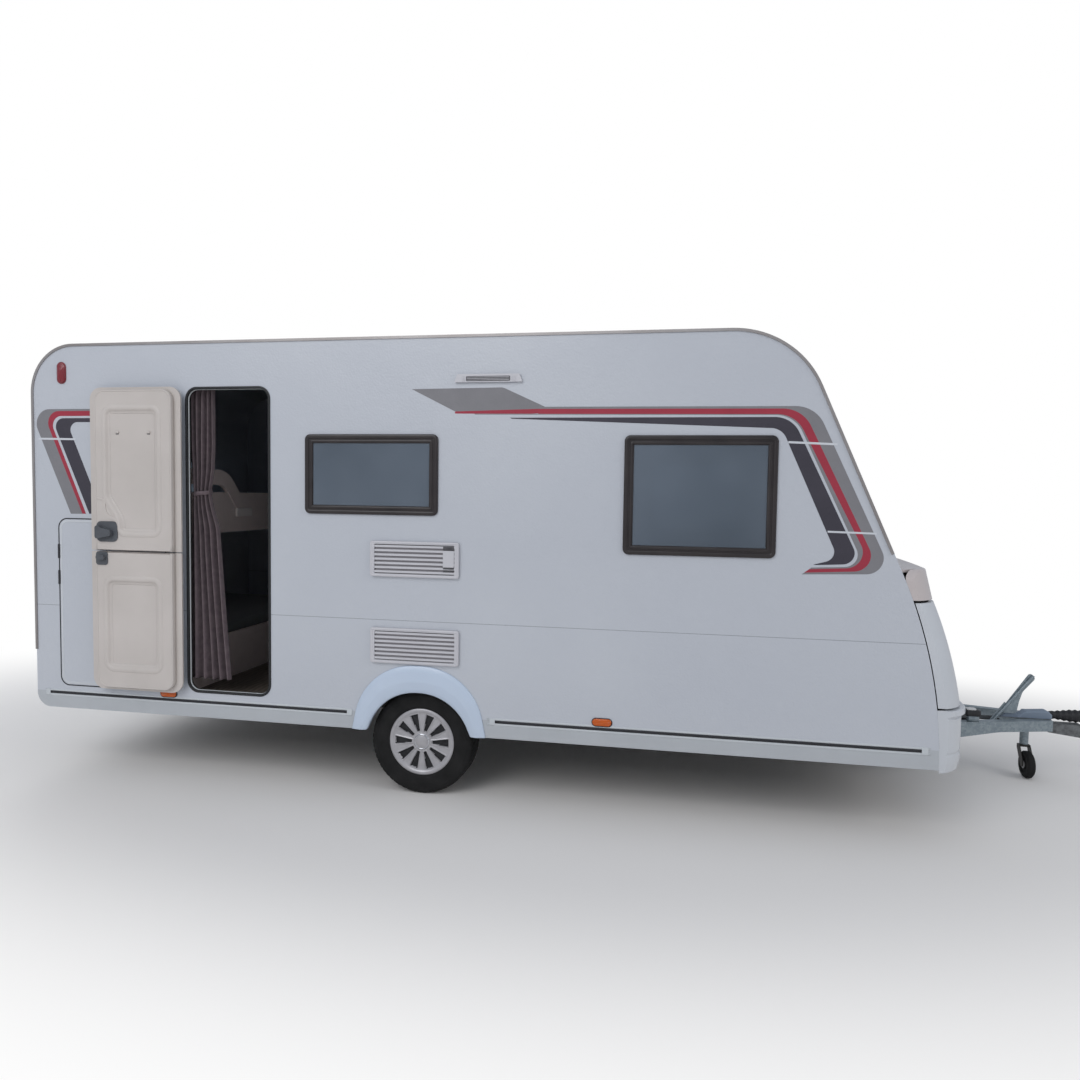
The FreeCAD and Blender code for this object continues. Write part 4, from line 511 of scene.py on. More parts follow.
def arch_line(inset, foot_z=ARCH_FOOT_Z):
    """The arch drawn in by inset: two leaning legs joined by an almost round crown."""
    reach, top = 0.376 - inset, 0.721 - 1.75 * inset
    knee = 0.2989 - 1.25 * inset
    bend = max(0.340 - 2 * inset, 0.290)
    foot = reach + (knee - reach) * (foot_z - ARCH_FOOT_Z) / (top - ARCH_FOOT_Z)
    turn = math.atan2(top - foot_z, foot - knee)
    bend = min(bend, 0.98 * math.hypot(foot - knee, top - foot_z) / math.tan(turn / 2))
    return bent_run([(-foot, foot_z), (-knee, top), (knee, top), (foot, foot_z)], (bend, bend), 24)


def lofted(name, rows, body, material, smooth=True):
    """A closed skin over rows of points that run side by side, the last row joined to the first."""
    rows = np.asarray(rows, float)
    count, across = rows.shape[:2]
    faces = grid_faces(count, across, True, False)
    faces += [[k * across for k in range(count)], [k * across + across - 1 for k in range(count)]]
    return mesh_piece(name, rows, faces, body, material, smooth)


def arch_trim(word, side):
    """Insets and heights of the section, carried along the arch from foot to foot."""
    section = [(-0.003, -0.001), (-0.003, 0.005), (0.0, 0.0085), (0.020, 0.0130), (0.044, 0.0176),
               (0.047, 0.0180), (0.050, 0.0176), (0.068, 0.0120), (0.079, 0.0085), (0.082, 0.004),
               (0.082, -0.030), (0.078, -0.030)]
    rows = []
    for inset, height in section:
        line = arch_line(inset)
        y = np.full(len(line), side * (WALL_Y + height))
        rows.append(placed(np.stack([line[:, 0], y, line[:, 1]], 1)))
    lofted(f"arch_trim_{word}", rows, "caravan", arch_moulding_painted_sky)
    outer, inner = arch_line(0.025, ARCH_BOX_Z), arch_line(0.030, ARCH_BOX_Z)
    deep = side * (WALL_Y - 0.300)
    rows = []
    for line, flat, y in ((outer, 0, side * (WALL_Y - 0.001)), (outer, 0, deep), (outer, 1, deep),
                          (inner, 1, deep + side * 0.005), (inner, 0, deep + side * 0.005),
                          (inner, 0, side * (WALL_Y - 0.001))):
        z = np.full(len(line), ARCH_BOX_Z) if flat else line[:, 1]
        rows.append(placed(np.stack([line[:, 0], np.full(len(line), y), z], 1)))
    return lofted(f"arch_box_{word}", rows, "caravan", box_plastic)


box_plastic = surface("box_plastic", (0.022, 0.022, 0.024), 0.6,
                      grain=(14.0, 5.0, (0.014, 0.014, 0.015), (0.05, 0.048, 0.045)),
                      bumps=((260.0, 3.0, 0.0004, 0.5),))
# The trim's pale blue is a painted reflection of the sky on its outward face; dust greys its lowest part.
arch_moulding_painted_sky = moulding("arch_moulding_painted_sky", (0.59, 0.685, 0.82), (0.565, 0.66, 0.795), dust=0.25)
trims = [arch_trim(word, side) for word, side in SIDES]
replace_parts(trims[0], "wheel_arches")


# Small moulded pieces that sit on a flat face share one form: a rounded outline, a short rim
# and a swelling top. Latches, lenses, plates, domes and bolt heads are all made this way.
FACES = {
    "right": ((1, 0, 0), (0, 0, 1), (0, -1, 0)),
    "left": ((1, 0, 0), (0, 0, 1), (0, 1, 0)),
    "rear": ((0, 1, 0), (0, 0, 1), (-1, 0, 0)),
    "front": ((0, 1, 0), (0, 0, 1), (1, 0, 0)),
    "roof": ((1, 0, 0), (0, 1, 0), (0, 0, 1)),
    "slope": ((0, 1, 0), (-0.4019, 0, 0.9157), (0.9157, 0, 0.4019)),
}


def rounded_outline(width, height, corner, steps=7):
    """A rectangle with round corners as one closed line: four quarter circles in turn."""
    turn = np.linspace(0, math.pi / 2, steps)
    quarter = np.stack([np.cos(turn), np.sin(turn)], 1) * corner
    x, y = width / 2 - corner, height / 2 - corner
    parts = [quarter + (x, y), quarter[:, ::-1] * (-1, 1) + (-x, y), quarter * (-1, -1) + (-x, -y),
             quarter[:, ::-1] * (1, -1) + (x, -y)]
    return np.concatenate(parts)


def pad_on(name, face, centre, size, corner, rise, crown, body, material, steps=7):
    """A pad: the outline goes up by rise, rolls over and closes to a top that swells by crown.

    Its scale s falls from 1 to 0 while its height is rise + crown * (1 - s * s).
    """
    across, up, out = (np.array(v, float) for v in FACES[face])
    outline = rounded_outline(*size, corner, steps)
    scale = np.array([1, 1, 1, 0.94, 0.8, 0.6, 0.35, 0.0])
    edge = min(size) / 2
    roll = np.array([0, 0, 0.12, 0.5, 0.5, 0.5, 0.5, 0]) * min(rise, edge * 0.3)
    height = rise + crown * (1 - scale ** 2)
    height[:3] = (-0.0006, rise * 0.6, rise * 0.93)
    flat = (outline[None] - np.sign(outline[None]) * roll[:, None, None] * 0.2) * scale[:, None, None]
    points = (np.asarray(centre, float) + flat[..., :1] * across + flat[..., 1:] * up
              + height[:, None, None] * out)
    faces = grid_faces(len(scale), len(outline), False, True) + [list(range(len(outline)))]
    return mesh_piece(name, placed(points.reshape(-1, 3)), faces, body, material)


def loop_on(name, face, centre, size, corner, section, body, material):
    """A closed section of (outwards in the plane, off the face) pairs carried round an outline."""
    across, up, out = (np.array(v, float) for v in FACES[face])
    outline = rounded_outline(*size, corner, 9)
    path = placed(np.asarray(centre, float) + outline[:, :1] * across + outline[:, 1:] * up)
    return carried(name, path, section, body, material, normal=out, closed=True)


def half_round(width, height, steps=9):
    """A low rounded section, flat below, for beads and ribs."""
    turn = np.linspace(0, math.pi, steps)
    arc = np.stack([width / 2 * np.cos(turn), height * np.sin(turn) ** 0.8], 1)
    return np.concatenate([arc, [(-width / 2, -0.0008), (width / 2, -0.0008)]])


def tube(name, path, radius, body, material, turn_count=12):
    """A round bar along a path in space; its rings stand across the path."""
    path = np.asarray(path, float)
    ahead = np.gradient(path, axis=0)
    ahead /= np.linalg.norm(ahead, axis=1)[:, None]
    aside = np.cross(ahead, (0.12, 0.05, 1.0))
    aside /= np.linalg.norm(aside, axis=1)[:, None]
    over = np.cross(aside, ahead)
    turn = np.linspace(0, 2 * math.pi, turn_count + 1)[:-1]
    radius = np.broadcast_to(radius, len(path))[:, None, None]
    round_path = np.cos(turn)[:, None] * aside[:, None] + np.sin(turn)[:, None] * over[:, None]
    ring = path[:, None] + radius * round_path
    faces = grid_faces(len(path), turn_count, False, True)
    faces += [list(range(turn_count)), list(range((len(path) - 1) * turn_count, len(path) * turn_count))]
    return mesh_piece(name, placed(ring.reshape(-1, 3)), faces, body, material)


# The awning rails: dull extruded aluminium along every edge between wall and roof, a little
# patchy where it has weathered. The curtain's track inside is of the same metal.
rail_aluminium = surface("rail_aluminium", (0.38, 0.36, 0.355), 0.42, 0.75,
                         grain=(3.0, 4.0, (0.335, 0.31, 0.30), (0.42, 0.40, 0.395)),
                         bumps=((140.0, 4.0, 0.0003, 0.4),))
finish_node(rail_aluminium, "awning_rails", "curtain_rail")


# The service hatch beside the door: its sheet lies flush in a thin black seal with a slim white
# frame inside, and two black hinges show on its rear edge.
HATCH = (-1.867, 0.9875, 0.700, 0.985)
loop_on("hatch_seal", "right", (HATCH[0], -WALL_Y, HATCH[1]), HATCH[2:], 0.055, half_round(0.007, 0.0022),
        "caravan", insert_rubber)
loop_on("hatch_frame", "right", (HATCH[0], -WALL_Y, HATCH[1]), (0.672, 0.957), 0.043,
        half_round(0.014, 0.0016), "caravan", white_moulding)
for number, height in enumerate((1.288, 1.134)):
    pad_on(f"hatch_hinge_{number}", "right", (-2.217, -WALL_Y, height), (0.013, 0.085), 0.005, 0.004, 0.002,
           "caravan", insert_rubber)
for number, x in enumerate((-2.305, -0.395, 0.414, 2.566)):
    for word, side in SIDES:
        pad_on(f"skirt_end_{number}_{word}", word, (x, side * WALL_Y, 0.4470), (0.030, 0.036), 0.006,
               0.0035, 0.0015, "caravan", strip_white)


# The windows: dark plastic frames clipped round the openings, each with a broad outer rib and a
# slim inner one, and tinted acrylic panes that bow a little.
frame_plastic = surface("frame_plastic", (0.020, 0.017, 0.018), 0.32,
                        grain=(6.0, 3.0, (0.017, 0.013, 0.014), (0.034, 0.027, 0.027)),
                        bumps=((420.0, 3.0, 0.0001, 0.5),))
finish_node(frame_plastic, "window_frames")
WINDOWS = (("front_window", 1.465, 1.663, 0.752, 0.604), ("kitchen_window", -0.276, 1.754, 0.759, 0.432),
           ("bunk_window", -1.850, 1.754, 0.620, 0.432))


def window_ribs(name, face, centre, size, corner):
    """Two rounded ribs round a frame 48 mm wide: a broad outer one and a slim inner one."""
    for word, inset, width, height in (("outer", 0.012, 0.022, 0.005), ("inner", 0.037, 0.016, 0.0042)):
        ring = (size[0] - 2 * inset, size[1] - 2 * inset)
        loop_on(f"{name}_{word}_rib", face, centre, ring, max(corner - inset, 0.006),
                half_round(width, height), "caravan", frame_plastic)


for name, x, z, width, height in WINDOWS:
    for word, side in SIDES:
        if word == "left" or name != "bunk_window":
            window_ribs(f"{name}_{word}", word, (x, side * (WALL_Y + 0.009), z), (width, height), 0.030)
window_ribs("rear_window", "rear", (-2.394, 0, 1.690), (1.100, 0.470), 0.070)
pane_acrylic = surface("pane_acrylic", (0.19, 0.235, 0.29), 0.05, Transmission_Weight=0.5, IOR=1.49,
                       grain=(1.6, 2.0, (0.155, 0.195, 0.245), (0.235, 0.285, 0.35)),
                       bumps=((2.2, 1.0, 0.003, 0.25),))
finish_node(pane_acrylic, "window_panes")
dome_acrylic = surface("dome_acrylic", (0.62, 0.66, 0.70), 0.22, Transmission_Weight=0.35, IOR=1.49,
                       grain=(3.0, 3.0, (0.58, 0.62, 0.66), (0.66, 0.70, 0.74)))
finish_node(dome_acrylic, "roof_lights")


# The roof lights: a white kerb screwed round each hole in the roof and a milky acrylic dome that
# closes over it, with a rolled edge.
ROOF_TOP = 2.490


def roof_light(number, x, width):
    """A kerb ring, a crowned square dome that rises by 1 - s * s, and a bead along its edge."""
    kerb = [(-0.014, -0.001), (-0.014, 0.026), (0.012, 0.026), (0.016, 0.020), (0.024, 0.003),
            (0.024, -0.001)]
    loop_on(f"roof_kerb_{number}", "roof", (x, 0, ROOF_TOP), (width + 0.03, width + 0.03), 0.036, kerb,
            "caravan", white_moulding)
    dome = pad_on(f"roof_dome_{number}", "roof", (x, 0, ROOF_TOP + 0.026), (width + 0.086, width + 0.086),
                  0.060, 0.016, 0.028, "caravan", dome_acrylic, steps=12)
    loop_on(f"roof_dome_bead_{number}", "roof", (x, 0, ROOF_TOP + 0.0395), (width - 0.020, width - 0.020),
            0.040, half_round(0.014, 0.005), "caravan", dome_acrylic)
    return dome


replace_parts(roof_light(0, -1.500, 0.400), "roof_lights")
roof_light(1, 0.400, 0.560)


# The doorway: a black rubber seal with a raised bead round it and a thin bright lip inside,
# where the wall's frame shows.
seal_rubber = surface("seal_rubber", (0.012, 0.013, 0.015), 0.5, bumps=((350.0, 3.0, 0.0002, 0.5),))
finish_node(seal_rubber, "door_seal")
DOORWAY = (-1.125, 1.3675, 0.520, 1.735)
lip_white = moulding("lip_white", (0.62, 0.65, 0.66), (0.57, 0.60, 0.61), 0.35)
loop_on("door_frame_lip", "right", (DOORWAY[0], 0.006 - WALL_Y, DOORWAY[1]),
        (DOORWAY[2] - 0.0285, DOORWAY[3] - 0.0285), 0.0558,
        [(0.001, -0.011), (0.001, 0.0), (-0.0016, 0.0), (-0.0016, -0.011)], "caravan", lip_white)
loop_on("door_seal_bead", "right", (DOORWAY[0], -WALL_Y - 0.003, DOORWAY[1]),
        (DOORWAY[2] - 0.014, DOORWAY[3] - 0.014), 0.063, half_round(0.013, 0.0035), "caravan", seal_rubber)


# The door: two leaves in one moulded cream plastic, folded back flat against the wall. The skin
# that turns to the wall is the door's outside and is white like the sheets.
leaf_plastic = surface("leaf_plastic", (0.60, 0.55, 0.51), 0.45,
                       grain=(3.0, 4.0, (0.565, 0.52, 0.485), (0.625, 0.575, 0.54)),
                       bumps=((700.0, 2.0, 0.00012, 0.5),))
tree, shader, place = tree_of(leaf_plastic)
darken(tree, shader, line_mask(tree, place, "Y", -1.180, 0.0095), SHEET_WHITE)
finish_node(leaf_plastic, "door_lower", "door_upper")
LINING_Y = -1.228
PANEL_FLOOR_Y = -1.218


def leaf_edge(name, outline, body):
    """A soft rounded edge along three sides of a leaf's lining, carried outside its sharp corner."""
    turn = np.linspace(0, math.pi / 2, 8)
    arc = np.stack([0.0060 * np.sin(turn), 0.0285 - 0.0130 * (1 - np.cos(turn))], 1)
    section = np.concatenate([[(-0.006, 0.0288)], arc, [(0.0060, -0.0003), (-0.006, -0.0003)]])
    path = placed(np.stack([outline[:, 0], np.full(len(outline), -1.200), outline[:, 1]], 1))
    carried(name, path, section, body, leaf_plastic, normal=(0, -1, 0))


def panel_bead(name, outline, body):
    """A rolled rim round the sunken panel: over a low crest and down a soft slope to its floor."""
    section = [(0.024, -0.0006), (0.021, 0.0014), (0.015, 0.0040), (0.008, 0.0053), (0.002, 0.0050),
               (-0.003, 0.0034), (-0.007, 0.0004), (-0.0105, -0.0038), (-0.0145, -0.0074),
               (-0.020, -0.0092), (-0.027, -0.0097), (-0.027, -0.0106), (0.024, -0.0106)]
    path = placed(np.stack([outline[:, 0], np.full(len(outline), LINING_Y), outline[:, 1]], 1))
    carried(name, path, section, body, leaf_plastic, normal=(0, -1, 0), closed=True)


lower_sides = bent_run([(-1.903, 1.2985), (-1.903, 0.524), (-1.427, 0.524), (-1.427, 1.2985)],
                       (0.056, 0.056), 20)
upper_sides = bent_run([(-1.427, 1.3075), (-1.427, 2.209), (-1.903, 2.209), (-1.903, 1.3075)],
                       (0.056, 0.056), 20)
leaf_edge("lower_leaf_edge", lower_sides, "lower_leaf")
leaf_edge("upper_leaf_edge", upper_sides, "upper_leaf")
lower_panel = bent_run([(-1.672, 1.140), (-1.838, 1.140), (-1.838, 0.633), (-1.507, 0.633), (-1.507, 1.140),
                        (-1.672, 1.140)], (0.040,) * 4, 10)
upper_panel = bent_run([(-1.672, 2.107), (-1.838, 2.107), (-1.838, 1.612), (-1.752, 1.484), (-1.746, 1.408),
                        (-1.507, 1.408), (-1.507, 2.107), (-1.672, 2.107)],
                       (0.040, 0.080, 0.150, 0.030, 0.040, 0.040), 10)
panel_bead("lower_panel_bead", lower_panel[:-1], "lower_leaf")
panel_bead("upper_panel_bead", upper_panel[:-1], "upper_leaf")
boss = np.array([(-1.843, 1.625), (-1.836, 1.612), (-1.755, 1.491), (-1.7505, 1.465), (-1.776, 1.482),
                 (-1.843, 1.503)])
boss = [np.stack([boss[:, 0], np.full(6, y), boss[:, 1]], 1)
        for y in (LINING_Y - 0.0006, PANEL_FLOOR_Y + 0.0005)]
mesh_piece("leaf_handle_boss", placed(np.concatenate(boss)),
           grid_faces(2, 6, False, True) + [list(range(6)), list(range(6, 12))],
           "upper_leaf", leaf_plastic, smooth=False)
ridge = bent_run([(-1.896, 1.607), (-1.858, 1.597), (-1.820, 1.562)], (0.050,), 8)
ridge = placed(np.stack([ridge[:, 0], np.full(len(ridge), LINING_Y), ridge[:, 1]], 1))
carried("leaf_handle_ridge", ridge, half_round(0.014, 0.0035), "upper_leaf", leaf_plastic,
        normal=(0, -1, 0))
hook_shadow = surface("hook_shadow", (0.22, 0.21, 0.20), 0.6,
                      grain=(60.0, 3.0, (0.18, 0.17, 0.165), (0.26, 0.25, 0.24)))
for number, x in enumerate((-1.766, -1.568)):
    pad_on(f"leaf_hook_{number}", "right", (x, PANEL_FLOOR_Y, 1.976), (0.022, 0.012), 0.004, 0.006, 0.002,
           "upper_leaf", leaf_plastic)
    pad_on(f"leaf_hook_slot_{number}", "right", (x, PANEL_FLOOR_Y, 1.966), (0.020, 0.006), 0.002, 0.0012,
           0.0004, "upper_leaf", hook_shadow)
hinge_plastic = moulding("hinge_plastic", (0.55, 0.57, 0.58), (0.50, 0.52, 0.54), 0.4)
finish_node(hinge_plastic, "door_hinges")
handle_plastic = surface("handle_plastic", (0.085, 0.092, 0.105), 0.42,
                         grain=(14.0, 3.0, (0.072, 0.078, 0.090), (0.10, 0.108, 0.12)),
                         bumps=((600.0, 3.0, 0.00015, 0.5),))
finish_node(handle_plastic, "door_handle_lower", "door_handle_upper")


# The refrigerator grilles and the cooker vent: white plastic whose depth stays in shadow, with
# raised rims, a lock plate on the upper grille and a dark slot in the cooker vent.
vent_plastic = moulding("vent_plastic", (0.61, 0.605, 0.635), (0.575, 0.57, 0.60), 0.42)
tree, shader, place = tree_of(vent_plastic)
# Everything less than 3.5 mm proud of the wall is painted dark grey: painted shade in the depth of the
# grilles.
darken(tree, shader, line_mask(tree, place, "Y", 0.0, WALL_Y + 0.0035), (0.27, 0.255, 0.27))
finish_node(vent_plastic, "side_vents")
vent_shadow = surface("vent_shadow", (0.07, 0.068, 0.075), 0.7,
                      grain=(40.0, 3.0, (0.055, 0.053, 0.060), (0.09, 0.088, 0.095)))
SLAT_Y = -1.163
pad_on("vent_lock_plate", "right", (0.168, SLAT_Y, 1.3085), (0.062, 0.088), 0.005, 0.0016, 0.0008, "caravan",
       vent_plastic)
for number, (height, depth) in enumerate(((1.3645, 0.021), (1.2590, 0.009), (1.2430, 0.009))):
    pad_on(f"vent_lock_slot_{number}", "right", (0.168, SLAT_Y, height), (0.060, depth), 0.003, 0.0012,
           0.0004, "caravan", vent_shadow)
for word, x, z in (("upper", -0.024, 1.302), ("lower", -0.021, 0.831)):
    loop_on(f"vent_rim_{word}", "right", (x, -1.166, z), (0.484, 0.178), 0.010, half_round(0.010, 0.0022),
            "caravan", vent_plastic)
pad_on("cooker_vent_slot", "right", (0.374, -1.166, 2.2580), (0.236, 0.026), 0.005, 0.0010, 0.0004, "caravan",
       vent_shadow)
for number, z in enumerate((2.2505, 2.2585, 2.2660)):
    pad_on(f"cooker_vent_bar_{number}", "right", (0.374, -1.1666, z), (0.230, 0.0022), 0.001, 0.0010, 0.0003,
           "caravan", vent_plastic, steps=4)
for number, x in enumerate((0.238, 0.2465, 0.502, 0.511, 0.520)):
    pad_on(f"cooker_vent_rib_{number}", "right", (x, -1.166, 2.2580), (0.0036, 0.030), 0.0015, 0.0020, 0.0004,
           "caravan", vent_plastic, steps=4)


# The lamps: orange and red lenses over prismatic backs. Oval markers stand on the side walls,
# and a cluster of three lamps stands at each end of the rear board, beside a blank plate.
def lens(name, colour, deep):
    """Coloured plastic with fine upright prisms inside."""
    material = new_material(name, colour, 0.16, Transmission_Weight=0.25, Coat_Weight=0.3)
    tree, shader, place = tree_of(material)
    ribs = add(tree, "TexWave", {"Vector": place, "Scale": 55, "Distortion": 0.0})
    tint(tree, shader, ribs.outputs["Fac"], deep, colour, 0.1, 0.9)
    relief(tree, shader, ribs.outputs["Fac"], 0.0006, 0.5)
    return material


orange_lens = lens("orange_lens", (0.93, 0.17, 0.002), (0.66, 0.095, 0.001))
red_lens = lens("red_lens", (0.37, 0.035, 0.052), (0.20, 0.014, 0.022))
clear_lens = lens("clear_lens", (0.70, 0.71, 0.72), (0.52, 0.53, 0.54))
finish_node(orange_lens, "side_markers")
finish_node(red_lens, "rear_lamps")
lamp_black = surface("lamp_black", (0.02, 0.02, 0.022), 0.45, bumps=((300.0, 3.0, 0.0001, 0.4),))


def side_marker(word, side, number, x):
    """A long oval lens on a black foot."""
    pad_on(f"marker_foot_{word}_{number}", word, (x, side * WALL_Y, 0.483), (0.109, 0.046), 0.0228, 0.004,
           0.0, "caravan", lamp_black)
    return pad_on(f"marker_lens_{word}_{number}", word, (x, side * (WALL_Y + 0.003), 0.4838),
                  (0.100, 0.037), 0.0184, 0.004, 0.0048, "caravan", orange_lens, steps=12)


def upper_marker(word, side):
    """A tall oval red lens in a slim foot, high on the rear corner of a wall."""
    pad_on(f"upper_foot_{word}", word, (-2.180, side * WALL_Y, 2.324), (0.060, 0.126), 0.0298, 0.005, 0.0,
           "caravan", red_lens, steps=12)
    return pad_on(f"upper_lens_{word}", word, (-2.180, side * (WALL_Y + 0.004), 2.324), (0.052, 0.116),
                  0.0258, 0.005, 0.0085, "caravan", red_lens, steps=12)


def rear_cluster(word, side):
    """Indicator outside, tail lamp in the middle and reversing lamp inside, on one black housing."""
    pad_on(f"cluster_housing_{word}", "rear", (-2.409, side * 0.880, 0.640), (0.300, 0.120), 0.029, 0.013,
           0.001, "caravan", lamp_black)
    for part, off, width, finish, slot in (("indicator", 0.098, 0.086, orange_lens, "orange_lens"),
                                           ("tail", 0.002, 0.100, red_lens, "red_lens"),
                                           ("reversing", -0.096, 0.088, clear_lens, "tinted_pane")):
        pad_on(f"cluster_{part}_{word}", "rear", (-2.421, side * (0.880 + off), 0.640), (width, 0.108),
               0.024, 0.009, 0.009, "caravan", finish, steps=9)


markers = [side_marker(word, side, number, x) for word, side in SIDES
           for number, x in enumerate((1.000, -1.506))]
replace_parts(markers[0], "side_markers")
uppers = [upper_marker(word, side) for word, side in SIDES]
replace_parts(uppers[0], "rear_lamps")
for word, side in SIDES:
    rear_cluster(word, side)
plate_white = moulding("plate_white", (0.66, 0.66, 0.66), (0.62, 0.62, 0.62), 0.35)
pad_on("number_plate", "rear", (-2.417, 0, 0.640), (0.520, 0.110), 0.008, 0.0016, 0.0, "caravan", plate_white)
for number, y in enumerate((-0.235, 0.235)):
    pad_on(f"plate_screw_{number}", "rear", (-2.4186, y, 0.640), (0.012, 0.012), 0.0059, 0.0010, 0.0008,
           "caravan", lamp_black, steps=4)


# The wheels: tyre, steel rim and a silver plastic trim with ten wedge slots. Every ring of the
# tyre and of the trim is turned about the axle.
tyre_rubber = surface("tyre_rubber", (0.011, 0.011, 0.012), 0.75, Specular_IOR_Level=0.25,
                      grain=(12.0, 5.0, (0.008, 0.008, 0.008), (0.017, 0.0165, 0.0165)),
                      bumps=((380.0, 3.0, 0.0003, 0.6),))
finish_node(tyre_rubber, "jockey_wheel")
rim_steel = surface("rim_steel", (0.10, 0.10, 0.105), 0.5, 0.6, bumps=((120.0, 3.0, 0.0004, 0.5),))
finish_node(rim_steel, "rim_right", "rim_left")
WHEEL_Y = 1.0075
WHEEL_Z = 0.290
TREAD_PITCHES = 60


def ease(value):
    """0 below 0, 1 above 1 and a smooth step between."""
    value = np.clip(value, 0, 1)
    return value * value * (3 - 2 * value)


def turned_shell(name, radius, height, side, body, material, ring=False):
    """A skin turned about the axle; rows follow its section and columns its turn.

    radius and height are grids, height running outwards along the axle from the wheel's middle.
    """
    rows, columns = radius.shape
    turn = np.linspace(0, 2 * math.pi, columns + 1)[:-1]
    points = np.stack([radius * np.cos(turn), side * (WHEEL_Y + height), WHEEL_Z + radius * np.sin(turn)],
                      -1)
    return mesh_piece(name, placed(points.reshape(-1, 3)), grid_faces(rows, columns, ring, True), body,
                      material)


def tyre(word, side):
    """The half section is smoothed and mirrored; grooves are cut inwards by steps of its width.

    Four grooves run round the tread. Narrow cuts cross it, TREAD_PITCHES to a turn, deeper at
    the shoulders, and low rings stand on the side wall.
    """
    y = np.array([0.0722, 0.080, 0.0868, 0.0900, 0.0912, 0.0908, 0.0886, 0.0860, 0.0815, 0.0740, 0.0620,
                  0.03, 0])
    r = np.array([0.178, 0.184, 0.198, 0.213, 0.226, 0.242, 0.262, 0.273, 0.2815, 0.2868, 0.2890, 0.290,
                  0.290])
    along = np.concatenate([[0], np.cumsum(np.hypot(np.diff(y), np.diff(r)))])
    fine = np.linspace(0, along[-1], 64)
    y, r = np.interp(fine, along, y), np.interp(fine, along, r)
    for axis in (y, r):
        axis[1:-1] = (axis[:-2] + 2 * axis[1:-1] + axis[2:]) / 4
    y, r = np.concatenate([y, -y[-2::-1]]), np.concatenate([r, r[-2::-1]])
    turn = np.linspace(0, 2 * math.pi, TREAD_PITCHES * 8 + 1)[:-1]
    wide, deep = y[:, None], r[:, None]
    tread = ease((deep - 0.262) / 0.014)
    rings = sum(ease(1.6 - np.abs(np.abs(wide) - at) / 0.0026) for at in (0.0125, 0.0385))
    phase = ((turn * TREAD_PITCHES / (2 * math.pi) + 6.0 * np.abs(wide)) % 1.0) - 0.5
    crossing = ease(1.5 - np.abs(phase) / 0.075) * np.where(np.abs(wide) > 0.045, 1.0, 0.3)
    cut = tread * np.clip(0.0065 * np.clip(rings, 0, 1) + 0.0042 * crossing, 0, 0.0068)
    ridge = 0.0011 * sum(np.exp(-((deep - at) / 0.0014) ** 2) for at in (0.1985, 0.2035, 0.2555, 0.2585))
    ridge = ridge + 0.0006 * np.exp(-((deep - 0.232) / 0.010) ** 2)
    radius = np.broadcast_to(deep, cut.shape) - cut
    height = np.broadcast_to(wide + np.sign(wide) * np.where(np.abs(wide) > 0.05, ridge, 0), cut.shape)
    inner = np.array([[0.1755, 0.0700], [0.1740, 0.0], [0.1755, -0.0700]])[::-1]
    inner = np.repeat(inner[:, None, :], len(turn), 1)
    radius = np.concatenate([radius, inner[..., 0]])
    height = np.concatenate([height, inner[..., 1]])
    return turned_shell(f"tyre_tread_{word}", radius, height, side, f"wheel_{word}", tyre_rubber,
                        True)


trim_silver = surface("trim_silver", (0.45, 0.44, 0.455), 0.36, 0.35, Coat_Weight=0.3,
                      grain=(16.0, 4.0, (0.41, 0.40, 0.415), (0.49, 0.48, 0.495)),
                      bumps=((900.0, 3.0, 0.0001, 0.4),))
trim_shadow = surface("trim_shadow", (0.015, 0.015, 0.018), 0.8,
                      grain=(90.0, 4.0, (0.010, 0.010, 0.012), (0.03, 0.03, 0.032)))
trim_chrome = surface("trim_chrome", (0.62, 0.63, 0.66), 0.12, 1.0, bumps=((60.0, 3.0, 0.0001, 0.3),))
SPOKES = 10


def slot_reach(r, turn):
    """How far inside the nearest of the ten wedge slots a point lies, below 0 outside them."""
    pitch = 2 * math.pi / SPOKES
    off = (turn + pitch / 2) % pitch - pitch / 2
    along, across = r * np.cos(off), np.abs(r * np.sin(off))
    half = 0.0070 + (along - 0.058) * 0.165
    return np.minimum(np.minimum(half - across, along - 0.058), 0.1525 - along)


def paint_faces(piece, material, where):
    """Gives another material to the faces whose centres pass a test of radius and turn."""
    data = piece.data
    data.materials.append(material)
    count = len(data.polygons)
    centres, index = np.empty(3 * count), np.zeros(count, int)
    data.polygons.foreach_get("center", centres)
    data.polygons.foreach_get("material_index", index)
    x, _, z = (centres.reshape(-1, 3) - (AXLE_X, 0, WHEEL_Z + GROUND_Z)).T
    index[where(np.hypot(x, z), np.arctan2(z, x))] = len(data.materials) - 1
    data.polygons.foreach_set("material_index", index)


